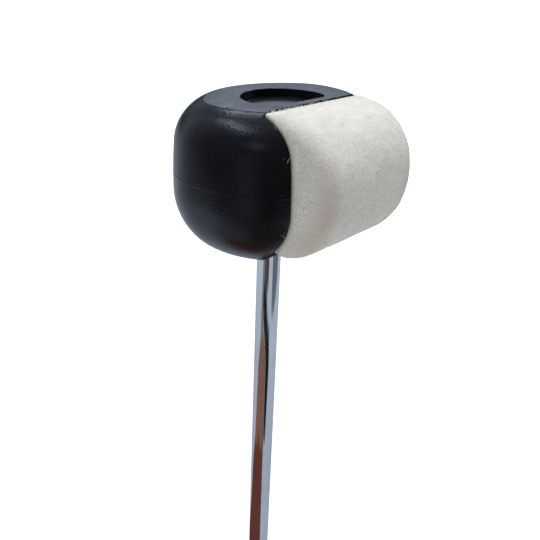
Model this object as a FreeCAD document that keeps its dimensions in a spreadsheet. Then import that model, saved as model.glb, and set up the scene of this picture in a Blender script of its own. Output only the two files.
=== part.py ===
"""Bass drum beater with a felt face and a plastic face on one moulded head.

Millimetres. The origin is the centre of the shaft's foot, +Z runs up the shaft
and +X points at the felt strike face.
"""
import FreeCAD, Part
import math
import os
import re

import Sketcher

PARTS_FOLDER = "parts"
START, END, CENTRE = range(1, 4)
H_AXIS, V_AXIS = range(-1, -3, -1)
ORIGIN = (H_AXIS, START)
TOUCH = 1e-4

SIZES = [
    ("overall_length", 235.0, "shaft foot to the head's flat top"),
    ("shaft_diameter", 8.0, "chromed rod, the size that pedal clamps take"),
    ("shaft_foot_chamfer", 0.8, "bevel at the foot of the rod"),
    ("seat_diameter", 7.6, "turned stretch of the rod inside the head"),
    ("spigot_diameter", 6.0, "turned-down end that takes the nut"),
    ("spigot_chamfer", 0.6, "bevel at the spigot's end"),
    ("spigot_stand", 1.6, "spigot showing above the nut"),
    ("bore_clearance", 0.05, "radial play of the rod's seat and spigot in the head"),
    ("head_height", 46.2, "flat top to the flat underside"),
    ("head_radius", 33.1, "barrel at its widest"),
    ("top_flat_radius", 24.1, "crisp edge round the flat top"),
    ("shoulder_radius", 13.1, "rounding below the flat top"),
    ("side_radius", 170.0, "slow bulge of the side above the widest ring"),
    ("foot_radius", 20.8, "rounding from the widest ring to the flat underside"),
    ("plastic_face_inset", 6.5, "how far the plastic strike face lies inside the barrel's round"),
    ("underside_corner_radius", 0.7, "plan rounding left at the corners of the flat underside"),
    ("relief_start", 10.3, "axis to where the underside starts to rise to the felt"),
    ("relief_angle", 35.0, "slope of that rise, degrees"),
    ("socket_depth", 10.2, "rod's seat in the underside"),
    ("socket_lead_in", 0.8, "bevel at the mouth of that seat"),
    ("web_thickness", 12.0, "plastic clamped between rod shoulder and washer"),
    ("nut_pocket_diameter", 16.0, "room for a socket wrench"),
    ("plug_sink", 2.3, "flat top to the plug's face"),
    ("plug_thickness", 2.5, "plate of the plug"),
    ("plug_radius", 13.2, "round back of the plug's outline"),
    ("plug_ledge", 1.0, "ledge between the nut pocket and that round back"),
    ("plug_flat_reach", 10.6, "axis to the outline's flat on the felt side"),
    ("plug_corner_radius", 4.5, "corners beside that flat"),
    ("plug_clearance", 0.15, "play round the plug's plate"),
    ("plug_edge_chamfer", 0.4, "bevel round the plug's face"),
    ("skirt_depth", 3.2, "ring below the plug's plate"),
    ("skirt_wall", 1.4, "wall of that ring"),
    ("skirt_clearance", 0.35, "play between ring and nut pocket"),
    ("rib_count", 6, "crush ribs round the ring"),
    ("rib_width", 1.2, "one crush rib"),
    ("rib_clearance", 0.1, "play between a rib and the nut pocket"),
    ("felt_seat", 15.1, "axis to the back wall of the felt slot"),
    ("felt_width", 40.4, "felt across its flat sides"),
    ("felt_side_clearance", 0.2, "play between felt and slot sides"),
    ("felt_reach", 38.2, "axis to the felt strike face"),
    ("felt_proud", 0.5, "felt above the head's flat top"),
    ("felt_foot_depth", 41.0, "flat top to the felt's lowest line"),
    ("felt_top_radius", 18.0, "strike face into the top"),
    ("felt_nose_flat", 5.0, "straight stretch of the strike face"),
    ("felt_edge_radius", 4.5, "soft edge between strike face and sides"),
    ("glue_thickness", 0.3, "glue film behind the felt"),
    ("glue_margin", 2.0, "felt left bare round the glue"),
    ("washer_diameter", 12.0, "flat washer, outside"),
    ("washer_thickness", 1.6, "flat washer"),
    ("washer_clearance", 0.2, "radial play of the washers on the spigot"),
    ("spring_diameter", 11.2, "lock washer, outside"),
    ("spring_thickness", 1.6, "lock washer"),
    ("spring_slit", 1.2, "split in the lock washer"),
    ("nut_width", 10.0, "nut across its flats"),
    ("nut_height", 5.2, "nut"),
    ("nut_bevel", 0.25, "how far the nut's end circles lie inside its flats"),
    ("nut_bevel_angle", 30.0, "slope of the bevel on the nut's corners, degrees"),
    ("thread_clearance", 0.05, "radial play of the nut on the spigot"),
    ("cut_overshoot", 1.0, "how far a cut runs past the surface it opens"),
]

SIZE_NAMES = {name for name, value, note in SIZES}

doc = FreeCAD.newDocument("bass_drum_beater")


def make_sheet():
    """Put every driving size in one sheet, each cell under its own name."""
    sheet = doc.addObject("Spreadsheet::Sheet", "Sizes")
    for row, (name, value, note) in enumerate(SIZES, start=1):
        sheet.set(f"A{row}", name)
        sheet.set(f"B{row}", str(value))
        sheet.setAlias(f"B{row}", name)
        sheet.set(f"C{row}", note)
    doc.recompute()
    return sheet


sheet = make_sheet()


def size(formula):
    """Spell a formula of size names the way a bound property reads it."""
    return re.sub("[a-z_]+", lambda word: f"Sizes.{word[0]}" if word[0] in SIZE_NAMES else word[0], formula)


def value_of(formula):
    """Give the present value of a formula of size names."""
    return float(sheet.evalExpression(size(formula)))


def bind(thing, property_name, formula):
    """Tie one property to a formula of size names."""
    thing.setExpression(property_name, size(formula))


# Heights that several pieces share
TOP = "overall_length"
HEAD_FOOT = "(overall_length - head_height)"
SHOULDER = "(overall_length - head_height + socket_depth)"
POCKET_FLOOR = "(overall_length - head_height + socket_depth + web_thickness)"
LEDGE = "(overall_length - plug_sink - plug_thickness)"
SPRING_SEAT = f"({POCKET_FLOOR} + washer_thickness)"
NUT_SEAT = f"({SPRING_SEAT} + spring_thickness)"
SPIGOT_END = f"({NUT_SEAT} + nut_height + spigot_stand)"

# Bore in the underside, and the rounding that leaves flat plastic round it
SOCKET_WALL = "(seat_diameter / 2 + bore_clearance)"
MOUTH_WALL = f"({SOCKET_WALL} + socket_lead_in)"
FACE_DEPTH = "(head_radius - plastic_face_inset)"
FOOT_ROUND = f"min(foot_radius; {FACE_DEPTH} - {MOUTH_WALL} - underside_corner_radius)"
WIDEST = f"({HEAD_FOOT} + {FOOT_ROUND})"

# Plan of the plastic half: two corner arcs and one slow arc between them, all tangent
CORNER_RADIUS = f"({FOOT_ROUND} + underside_corner_radius)"
CORNER_OFFSET = f"(head_radius - {CORNER_RADIUS})"
FACE_RADIUS = (f"(({FACE_DEPTH} ^ 2 + {CORNER_OFFSET} ^ 2 - {CORNER_RADIUS} ^ 2)"
               f" / (2 * ({FACE_DEPTH} - {CORNER_RADIUS})))")
FACE_OFFSET = f"({FACE_RADIUS} - {FACE_DEPTH})"
FACE_HALF_ANGLE = f"atan({CORNER_OFFSET} / {FACE_OFFSET})"

# Centre of the plug's round back
PLUG_CENTRE = "(plug_radius - nut_pocket_diameter / 2 - plug_ledge)"

# Felt lines that the slot, the felt and the glue share
FELT_BACK = "(felt_seat + glue_thickness)"
FELT_TOP = "(overall_length + felt_proud)"
FELT_FOOT = "(overall_length - felt_foot_depth)"
FELT_FOOT_RADIUS = (f"min(felt_proud + felt_foot_depth - felt_nose_flat - felt_top_radius; "
                    f"felt_reach - {FELT_BACK} - glue_margin / 2)")


def make_body(label):
    """Start one sub-part."""
    body = doc.addObject("PartDesign::Body", label)
    body.Label = label
    return body


def origin_plane(body, role):
    """Find one of a body's own origin planes."""
    return next(plane for plane in body.Origin.OriginFeatures if plane.Role == role)


def make_sketch(body, name, role, offset=None):
    """Start a sketch on an origin plane of its body, moved along the plane's normal."""
    sketch = body.newObject("Sketcher::SketchObject", name)
    sketch.AttachmentSupport = [(origin_plane(body, role), "")]
    sketch.MapMode = "FlatFace"
    if offset:
        bind(sketch, "AttachmentOffset.Base.z", offset)
    return sketch


def dimension(sketch, name, formula, kind, *places):
    """Add one named dimension tied to a formula."""
    index = sketch.addConstraint(Sketcher.Constraint(kind, *places, value_of(formula)))
    sketch.renameConstraint(index, name)
    bind(sketch, f"Constraints.{name}", formula)


def pin_point(sketch, name, point, across, along):
    """Hold one point at two coordinates, on an axis where a coordinate is zero."""
    for kind, axis, formula in (("DistanceX", V_AXIS, across), ("DistanceY", H_AXIS, along)):
        if formula == "0":
            sketch.addConstraint(Sketcher.Constraint("PointOnObject", *point, axis))
        else:
            dimension(sketch, name + kind[-1], formula, kind, *ORIGIN, *point)


def vector(across, along):
    """Place a point of a sketch from two formulas."""
    return FreeCAD.Vector(value_of(across), value_of(along), 0)


def draw_polygon(sketch, corners):
    """Draw a closed outline of straight lines through corners given as formulas."""
    count = len(corners)
    for index, corner in enumerate(corners):
        following = corners[(index + 1) % count]
        sketch.addGeometry(Part.LineSegment(vector(*corner), vector(*following)), False)
    for index, corner in enumerate(corners):
        sketch.addConstraint(Sketcher.Constraint("Coincident", index, END, (index + 1) % count, START))
        pin_point(sketch, f"corner{index}", (index, START), *corner)


def draw_circle(sketch, radius):
    """Draw a circle round the origin."""
    round_edge = Part.Circle(FreeCAD.Vector(), FreeCAD.Vector(0, 0, 1), value_of(radius))
    circle = sketch.addGeometry(round_edge, False)
    sketch.addConstraint(Sketcher.Constraint("Coincident", circle, CENTRE, *ORIGIN))
    dimension(sketch, "round", radius, "Radius", circle)


def add_arc(sketch, centre, radius, first, last):
    """Add an arc, anticlockwise between two angles in degrees."""
    circle = Part.Circle(centre, FreeCAD.Vector(0, 0, 1), radius)
    return sketch.addGeometry(Part.ArcOfCircle(circle, math.radians(first), math.radians(last)), False)


def join(sketch, kind, first, second):
    """Join the end of one element to the start of another, or make them tangent there."""
    sketch.addConstraint(Sketcher.Constraint(kind, *first, *second))


def pad(body, sketch, length, name):
    """Raise a sketch by a length along its normal."""
    feature = body.newObject("PartDesign::Pad", name)
    feature.Profile = sketch
    bind(feature, "Length", length)
    return feature


def pocket(body, sketch, name, length=None):
    """Sink a sketch against its normal, by a length or right through."""
    feature = body.newObject("PartDesign::Pocket", name)
    feature.Profile = sketch
    if length:
        bind(feature, "Length", length)
    else:
        feature.Type = "ThroughAll"
    return feature


def turn(body, sketch, kind, name):
    """Add or remove a full turn of a sketch round the upright axis."""
    feature = body.newObject(kind, name)
    feature.Profile = sketch
    feature.ReferenceAxis = (sketch, ["V_Axis"])
    feature.Angle = 360
    return feature


def draw_barrel_section(name, inner_at, widest_at):
    """Upright section from an inner line out to the skin: flat top, crisp edge, shoulder, side, foot."""
    sketch = doc.addObject("Sketcher::SketchObject", name)
    rim_at = f"{widest_at} - (head_radius - top_flat_radius)"
    widest = vector(widest_at, WIDEST)
    inner = sketch.addGeometry(Part.LineSegment(vector(inner_at, HEAD_FOOT), vector(inner_at, TOP)), False)
    flat = sketch.addGeometry(Part.LineSegment(vector(inner_at, TOP), vector(rim_at, TOP)), False)
    shoulder = add_arc(sketch, vector(f"{widest_at} - shoulder_radius", f"{TOP} - shoulder_radius"),
                       value_of("shoulder_radius"), 10, 70)
    side = add_arc(sketch, widest - vector("side_radius", "0"), value_of("side_radius"), 0, 5)
    foot = add_arc(sketch, widest - vector(FOOT_ROUND, "0"), value_of(FOOT_ROUND), 270, 360)
    under = sketch.addGeometry(Part.LineSegment(vector(f"{widest_at} - {FOOT_ROUND}", HEAD_FOOT),
                                                vector(inner_at, HEAD_FOOT)), False)
    join(sketch, "Coincident", (inner, END), (flat, START))
    join(sketch, "Coincident", (flat, END), (shoulder, END))
    join(sketch, "Tangent", (shoulder, START), (side, END))
    join(sketch, "Tangent", (side, START), (foot, END))
    join(sketch, "Tangent", (foot, START), (under, START))
    join(sketch, "Coincident", (under, END), (inner, START))
    join(sketch, "Horizontal", (side, CENTRE), (side, START))
    sketch.addConstraint(Sketcher.Constraint("Horizontal", under))
    pin_point(sketch, "inner_top", (inner, END), inner_at, TOP)
    pin_point(sketch, "inner_foot", (inner, START), inner_at, HEAD_FOOT)
    pin_point(sketch, "top_rim", (flat, END), rim_at, TOP)
    pin_point(sketch, "widest", (side, START), widest_at, WIDEST)
    dimension(sketch, "shoulder", "shoulder_radius", "Radius", shoulder)
    dimension(sketch, "bulge", "side_radius", "Radius", side)
    return sketch


def turn_section(section, name, angle):
    """Turn an upright section round an upright axis."""
    sector = doc.addObject("Part::Revolution", name)
    sector.Source = section
    sector.Axis = FreeCAD.Vector(0, 0, 1)
    sector.Solid = True
    bind(sector, "Angle", angle)
    return sector


def make_head_blank():
    """Barrel with a round felt half and a plastic half drawn in to a flatter face."""
    towards_left = FreeCAD.Rotation(FreeCAD.Vector(1, 1, 1), 120)
    towards_back = FreeCAD.Rotation(180, 0, 90)

    left_section = draw_barrel_section("felt_half_section", "0", "head_radius")
    left_section.Placement.Rotation = towards_left
    felt_half = turn_section(left_section, "felt_half", "-180")

    corner_section = draw_barrel_section("corner_section", CORNER_OFFSET, "head_radius")
    corner_section.Placement.Rotation = towards_left
    left_corner = turn_section(corner_section, "left_corner", f"90 - {FACE_HALF_ANGLE} / 1 deg")
    bind(left_corner, "Base.y", CORNER_OFFSET)
    right_corner = doc.addObject("Part::Mirroring", "right_corner")
    right_corner.Source = left_corner
    right_corner.Normal = FreeCAD.Vector(0, 1, 0)

    face_section = draw_barrel_section("face_section", "0", FACE_DEPTH)
    face_section.Placement.Rotation = towards_back
    plastic_face = turn_section(face_section, "plastic_face", f"2 * {FACE_HALF_ANGLE} / 1 deg")
    plastic_face.Symmetric = True
    bind(plastic_face, "Base.x", FACE_OFFSET)

    blank = doc.addObject("Part::MultiFuse", "head_blank")
    blank.Shapes = [felt_half, left_corner, right_corner, plastic_face]
    blank.Refine = True
    return blank


def draw_plug_outline(sketch, play):
    """Round outline with one rounded-off flat on the felt side, smaller all round by a play."""
    radius = f"(plug_radius - {play})"
    reach = f"(plug_flat_reach - {play})"
    corner = f"(plug_corner_radius - {play})"
    inset = value_of(f"{reach} - {PLUG_CENTRE} - {corner}")
    rise = math.sqrt(value_of(f"{radius} - {corner}") ** 2 - inset ** 2)
    meet = math.degrees(math.atan2(rise, inset))
    middle = vector(PLUG_CENTRE, "0")
    upper = vector(f"{reach} - {corner}", "0") + FreeCAD.Vector(0, rise, 0)
    lower = vector(f"{reach} - {corner}", "0") - FreeCAD.Vector(0, rise, 0)
    step = vector(corner, "0")
    flat = sketch.addGeometry(Part.LineSegment(lower + step, upper + step), False)
    top_corner = add_arc(sketch, upper, value_of(corner), 0, meet)
    back = add_arc(sketch, middle, value_of(radius), meet, 360 - meet)
    foot_corner = add_arc(sketch, lower, value_of(corner), 360 - meet, 360)
    join(sketch, "Tangent", (flat, END), (top_corner, START))
    join(sketch, "Tangent", (top_corner, END), (back, START))
    join(sketch, "Tangent", (back, END), (foot_corner, START))
    join(sketch, "Tangent", (foot_corner, END), (flat, START))
    sketch.addConstraint(Sketcher.Constraint("Vertical", flat))
    sketch.addConstraint(Sketcher.Constraint("Equal", top_corner, foot_corner))
    pin_point(sketch, "middle", (back, CENTRE), PLUG_CENTRE, "0")
    dimension(sketch, "back", radius, "Radius", back)
    dimension(sketch, "corner", corner, "Radius", top_corner)
    dimension(sketch, "reach", reach, "DistanceX", *ORIGIN, flat, START)


def make_head_body():
    """Moulded head: barrel with a felt slot, a rise under the felt, a sunk plug seat and a stepped bore."""
    body = make_body("head_body")
    body.BaseFeature = make_head_blank()
    doc.recompute()

    outside = "(head_radius + cut_overshoot)"
    slot = make_sketch(body, "felt_slot_outline", "XY_Plane", f"{TOP} + cut_overshoot")
    slot_side = "felt_width / 2 + felt_side_clearance"
    draw_polygon(slot, [("felt_seat", f"-({slot_side})"),
                        (outside, f"-({slot_side})"),
                        (outside, slot_side),
                        ("felt_seat", slot_side)])
    pocket(body, slot, "felt_slot")
    doc.recompute()

    rise = f"({outside} - relief_start) * tan(relief_angle * 1 deg)"
    relief = make_sketch(body, "felt_relief_section", "XZ_Plane", outside)
    draw_polygon(relief, [("relief_start", HEAD_FOOT),
                          ("relief_start", f"{HEAD_FOOT} - cut_overshoot"),
                          (outside, f"{HEAD_FOOT} - cut_overshoot"),
                          (outside, f"{HEAD_FOOT} + {rise}")])
    pocket(body, relief, "felt_relief")
    doc.recompute()

    seat = make_sketch(body, "plug_seat_outline", "XY_Plane", TOP)
    draw_plug_outline(seat, "0")
    pocket(body, seat, "plug_seat", "plug_sink + plug_thickness")
    doc.recompute()

    bore = make_sketch(body, "bore_section", "XZ_Plane")
    pocket_wall = "nut_pocket_diameter / 2"
    spigot_wall = "spigot_diameter / 2 + bore_clearance"
    draw_polygon(bore, [("0", f"{LEDGE} + cut_overshoot"),
                        (pocket_wall, f"{LEDGE} + cut_overshoot"),
                        (pocket_wall, POCKET_FLOOR),
                        (spigot_wall, POCKET_FLOOR),
                        (spigot_wall, SHOULDER),
                        (SOCKET_WALL, SHOULDER),
                        (SOCKET_WALL, f"{HEAD_FOOT} + socket_lead_in"),
                        (MOUTH_WALL, HEAD_FOOT),
                        (MOUTH_WALL, f"{HEAD_FOOT} - cut_overshoot"),
                        ("0", f"{HEAD_FOOT} - cut_overshoot")])
    turn(body, bore, "PartDesign::Groove", "stepped_bore")
    return body


def draw_felt_section(sketch):
    """Side view of the felt: flat back, round nose between a top and a foot line."""
    top_radius = "felt_top_radius"
    foot_radius = f"({FELT_FOOT_RADIUS})"
    top_centre = vector(f"felt_reach - {top_radius}", f"{FELT_TOP} - {top_radius}")
    foot_centre = vector(f"felt_reach - {foot_radius}", f"{FELT_FOOT} + {foot_radius}")
    top_step = value_of(top_radius)
    foot_step = value_of(foot_radius)
    back_top = vector(FELT_BACK, FELT_TOP)
    back_foot = vector(FELT_BACK, FELT_FOOT)
    across = FreeCAD.Vector(1, 0, 0)
    upward = FreeCAD.Vector(0, 1, 0)
    back = sketch.addGeometry(Part.LineSegment(back_top, back_foot), False)
    foot = sketch.addGeometry(Part.LineSegment(back_foot, foot_centre - upward * foot_step), False)
    foot_round = add_arc(sketch, foot_centre, foot_step, 270, 360)
    nose = sketch.addGeometry(Part.LineSegment(foot_centre + across * foot_step,
                                               top_centre + across * top_step), False)
    top_round = add_arc(sketch, top_centre, top_step, 0, 90)
    top = sketch.addGeometry(Part.LineSegment(top_centre + upward * top_step, back_top), False)
    join(sketch, "Coincident", (back, END), (foot, START))
    join(sketch, "Tangent", (foot, END), (foot_round, START))
    join(sketch, "Tangent", (foot_round, END), (nose, START))
    join(sketch, "Tangent", (nose, END), (top_round, START))
    join(sketch, "Tangent", (top_round, END), (top, START))
    join(sketch, "Coincident", (top, END), (back, START))
    sketch.addConstraint(Sketcher.Constraint("Horizontal", foot))
    sketch.addConstraint(Sketcher.Constraint("Horizontal", top))
    sketch.addConstraint(Sketcher.Constraint("Vertical", nose))
    pin_point(sketch, "back_top", (back, START), FELT_BACK, FELT_TOP)
    pin_point(sketch, "back_foot", (back, END), FELT_BACK, FELT_FOOT)
    dimension(sketch, "reach", "felt_reach", "DistanceX", *ORIGIN, nose, START)
    dimension(sketch, "top_round", top_radius, "Radius", top_round)
    dimension(sketch, "foot_round", foot_radius, "Radius", foot_round)


def make_felt_block():
    """Felt with a round nose and soft side edges."""
    body = make_body("felt_block")
    section = make_sketch(body, "felt_section", "XZ_Plane", "-felt_width / 2")
    draw_felt_section(section)
    block = pad(body, section, "felt_width", "block")
    doc.recompute()

    back_plane = value_of(FELT_BACK)
    soft_edges = []
    for number, edge in enumerate(block.Shape.Edges, start=1):
        box = edge.BoundBox
        if box.YLength < TOUCH and box.XMax > back_plane + TOUCH:
            soft_edges.append(f"Edge{number}")
    softened = body.newObject("PartDesign::Fillet", "soft_edges")
    softened.Base = (block, soft_edges)
    bind(softened, "Radius", "felt_edge_radius")
    return body


def make_felt_adhesive():
    """Glue film between the slot's back wall and the felt."""
    body = make_body("felt_adhesive")
    outline = make_sketch(body, "film_outline", "YZ_Plane", "felt_seat")
    side = "felt_width / 2 - glue_margin"
    draw_polygon(outline, [(f"-({side})", f"{FELT_FOOT} + glue_margin"),
                           (side, f"{FELT_FOOT} + glue_margin"),
                           (side, f"{TOP} - glue_margin"),
                           (f"-({side})", f"{TOP} - glue_margin")])
    pad(body, outline, "glue_thickness", "film")
    return body


def make_shaft():
    """Rod with a bevelled foot, a turned seat for the head and a spigot for the nut."""
    body = make_body("shaft")
    section = make_sketch(body, "rod_section", "XZ_Plane")
    draw_polygon(section, [("0", "0"),
                           ("shaft_diameter / 2 - shaft_foot_chamfer", "0"),
                           ("shaft_diameter / 2", "shaft_foot_chamfer"),
                           ("shaft_diameter / 2", HEAD_FOOT),
                           ("seat_diameter / 2", HEAD_FOOT),
                           ("seat_diameter / 2", SHOULDER),
                           ("spigot_diameter / 2", SHOULDER),
                           ("spigot_diameter / 2", f"{SPIGOT_END} - spigot_chamfer"),
                           ("spigot_diameter / 2 - spigot_chamfer", SPIGOT_END),
                           ("0", SPIGOT_END)])
    turn(body, section, "PartDesign::Revolution", "rod")
    return body


def make_ring(label, outside, thickness, seat):
    """Flat ring round the spigot, seated at a height."""
    body = make_body(label)
    inside = "spigot_diameter / 2 + washer_clearance"
    section = make_sketch(body, "ring_section", "XZ_Plane")
    draw_polygon(section, [(inside, "0"), (f"{outside} / 2", "0"),
                           (f"{outside} / 2", thickness), (inside, thickness)])
    turn(body, section, "PartDesign::Revolution", "ring")
    bind(body, "Placement.Base.z", seat)
    return body


def make_lock_washer():
    """Split spring washer, drawn flat by the nut."""
    body = make_ring("lock_washer", "spring_diameter", "spring_thickness", SPRING_SEAT)
    doc.recompute()
    slit = make_sketch(body, "slit_outline", "XY_Plane", "spring_thickness")
    draw_polygon(slit, [("0", "-spring_slit / 2"), ("spring_diameter", "-spring_slit / 2"),
                        ("spring_diameter", "spring_slit / 2"), ("0", "spring_slit / 2")])
    pocket(body, slit, "slit")
    return body


def make_retaining_nut():
    """Hexagon nut with bevelled corners at both ends."""
    body = make_body("retaining_nut")
    outline = make_sketch(body, "hexagon", "XY_Plane")
    half = "nut_width / 2"
    corner = "nut_width * tan(30 deg)"
    draw_polygon(outline, [(half, f"-{corner} / 2"),
                           (half, f"{corner} / 2"),
                           ("0", corner),
                           (f"-{half}", f"{corner} / 2"),
                           (f"-{half}", f"-{corner} / 2"),
                           ("0", f"-{corner}")])
    pad(body, outline, "nut_height", "blank")
    doc.recompute()

    bevel_start = "(nut_width / 2 - nut_bevel)"
    bevel_end = "nut_width"
    fall = f"(({bevel_end} - {bevel_start}) * tan(nut_bevel_angle * 1 deg))"
    for name, level, sign in (("upper", "nut_height", "-"), ("lower", "0", "")):
        section = make_sketch(body, f"{name}_bevel_section", "XZ_Plane")
        slope_end = f"{level} {sign or '+'} {fall}"
        draw_polygon(section, [(bevel_start, level), (bevel_end, level), (bevel_end, slope_end)])
        turn(body, section, "PartDesign::Groove", f"{name}_bevel")
        doc.recompute()

    bore = make_sketch(body, "thread_bore_outline", "XY_Plane", "nut_height")
    draw_circle(bore, "spigot_diameter / 2 + thread_clearance")
    pocket(body, bore, "thread_bore")
    bind(body, "Placement.Base.z", NUT_SEAT)
    return body


def make_top_plug():
    """Plug plate that rests on the ledge, with a ribbed ring in the nut pocket."""
    body = make_body("top_plug")
    plate_outline = make_sketch(body, "plate_outline", "XY_Plane")
    draw_plug_outline(plate_outline, "plug_clearance")
    plate = pad(body, plate_outline, "plug_thickness", "plate")
    doc.recompute()

    face = max(range(len(plate.Shape.Faces)), key=lambda index: plate.Shape.Faces[index].CenterOfMass.z)
    bevel = body.newObject("PartDesign::Chamfer", "face_bevel")
    bevel.Base = (plate, [f"Face{face + 1}"])
    bind(bevel, "Size", "plug_edge_chamfer")
    doc.recompute()

    ring_outside = "(nut_pocket_diameter / 2 - skirt_clearance)"
    ring_inside = f"({ring_outside} - skirt_wall)"
    ring_section = make_sketch(body, "ring_section", "XZ_Plane")
    draw_polygon(ring_section, [(ring_inside, "0"), (ring_inside, "-skirt_depth"),
                                (ring_outside, "-skirt_depth"), (ring_outside, "0")])
    turn(body, ring_section, "PartDesign::Revolution", "ring")
    doc.recompute()

    rib_outline = make_sketch(body, "rib_outline", "XY_Plane")
    rib_root = f"{ring_outside} - skirt_wall / 2"
    rib_reach = "nut_pocket_diameter / 2 - rib_clearance"
    draw_polygon(rib_outline, [(rib_root, "-rib_width / 2"),
                               (rib_reach, "-rib_width / 2"),
                               (rib_reach, "rib_width / 2"),
                               (rib_root, "rib_width / 2")])
    rib = pad(body, rib_outline, "skirt_depth", "rib")
    rib.Reversed = True
    doc.recompute()
    ribs = body.newObject("PartDesign::PolarPattern", "ribs")
    ribs.Originals = [rib]
    ribs.Axis = (rib_outline, ["N_Axis"])
    ribs.Angle = 360
    bind(ribs, "Occurrences", "rib_count")
    body.Tip = ribs
    bind(body, "Placement.Base.z", LEDGE)
    return body


def build():
    """Make every sub-part, in the order in which the beater is put together."""
    return [make_shaft(),
            make_head_body(),
            make_felt_adhesive(),
            make_felt_block(),
            make_ring("flat_washer", "washer_diameter", "washer_thickness", POCKET_FLOOR),
            make_lock_washer(),
            make_retaining_nut(),
            make_top_plug()]


def check_and_write(bodies):
    """Stop on any failed feature or bad shape, then write one file for each sub-part."""
    doc.recompute()
    for thing in doc.Objects:
        if "Invalid" in thing.State or "Error" in thing.State:
            raise RuntimeError(f"{thing.Name} did not build: {thing.State}")
    for body in bodies:
        shape = body.Shape
        if shape.isNull() or not shape.isValid() or not shape.Solids:
            raise RuntimeError(f"{body.Label} has no valid solid")
    os.makedirs(PARTS_FOLDER, exist_ok=True)
    for body in bodies:
        body.Shape.exportStep(os.path.join(PARTS_FOLDER, body.Label + ".step"))
        box = body.Shape.optimalBoundingBox()
        print(f"{body.Label}: {body.Shape.Volume:.1f} mm3, x {box.XMin:.2f} {box.XMax:.2f}, "
              f"y {box.YMin:.2f} {box.YMax:.2f}, z {box.ZMin:.2f} {box.ZMax:.2f}")


check_and_write(build())
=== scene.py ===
"""Looks of a bass drum beater: a black moulded head with a felt face, on a chromed rod.

Metres, in the frame of the packed part: +Z up the rod, +X towards the felt face.
"""
import math
from typing import NamedTuple

import bmesh
import bpy
from bpy.props import FloatProperty, FloatVectorProperty, IntProperty, PointerProperty
from mathutils import Matrix, Vector, noise


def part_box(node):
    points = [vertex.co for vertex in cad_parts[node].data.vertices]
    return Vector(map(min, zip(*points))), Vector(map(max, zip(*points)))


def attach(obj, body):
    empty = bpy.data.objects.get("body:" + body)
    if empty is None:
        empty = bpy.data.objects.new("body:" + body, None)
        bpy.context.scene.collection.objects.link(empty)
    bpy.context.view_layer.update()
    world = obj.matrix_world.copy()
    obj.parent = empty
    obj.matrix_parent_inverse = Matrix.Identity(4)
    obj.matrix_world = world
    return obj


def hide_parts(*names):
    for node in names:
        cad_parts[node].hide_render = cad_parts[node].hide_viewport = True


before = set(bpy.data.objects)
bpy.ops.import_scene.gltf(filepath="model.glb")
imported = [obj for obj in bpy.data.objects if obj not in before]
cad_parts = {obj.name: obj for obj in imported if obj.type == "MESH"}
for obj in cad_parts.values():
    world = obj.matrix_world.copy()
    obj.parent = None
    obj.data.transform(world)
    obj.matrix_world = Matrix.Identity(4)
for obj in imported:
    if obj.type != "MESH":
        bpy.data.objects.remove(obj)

bl_info = {
    "name": "Bass Drum Beater",
    "version": (1, 0, 0),
    "blender": (4, 5, 0),
    "location": "3D View > Sidebar > Beater",
    "description": "Dresses the packed bass drum beater and sets up its studio",
    "category": "Object",
}

MM = 0.001
MERGE = 1e-6
QUARTER = math.pi / 2
FULL_TURN = 2 * math.pi
BLACK = (0.0, 0.0, 0.0)
WHITE = (1.0, 1.0, 1.0)

HEAD_LOW, HEAD_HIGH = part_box("head_body")
FELT_LOW, FELT_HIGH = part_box("felt_block")
GLUE_LOW, GLUE_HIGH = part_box("felt_adhesive")
PLUG_LOW, PLUG_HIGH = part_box("top_plug")
ROD_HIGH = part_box("shaft")[1]
WASHER_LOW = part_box("flat_washer")[0]


# Settings

def length(label, description, millimetres):
    """Declare a length."""
    return FloatProperty(name=label, description=description, default=millimetres * MM,
                         unit="LENGTH", precision=5)


def angle(label, description, degrees):
    """Declare an angle."""
    return FloatProperty(name=label, description=description, default=math.radians(degrees),
                         subtype="ANGLE")


def colour(label, description, default):
    """Declare a colour."""
    return FloatVectorProperty(name=label, description=description, default=default,
                               subtype="COLOR", size=3, min=0.0, max=1.0)


def plain(label, description, default, unit="NONE"):
    """Declare a plain number."""
    return FloatProperty(name=label, description=description, default=default, unit=unit)


def whole(label, description, default):
    """Declare a whole number."""
    return IntProperty(name=label, description=description, default=default)


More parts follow.
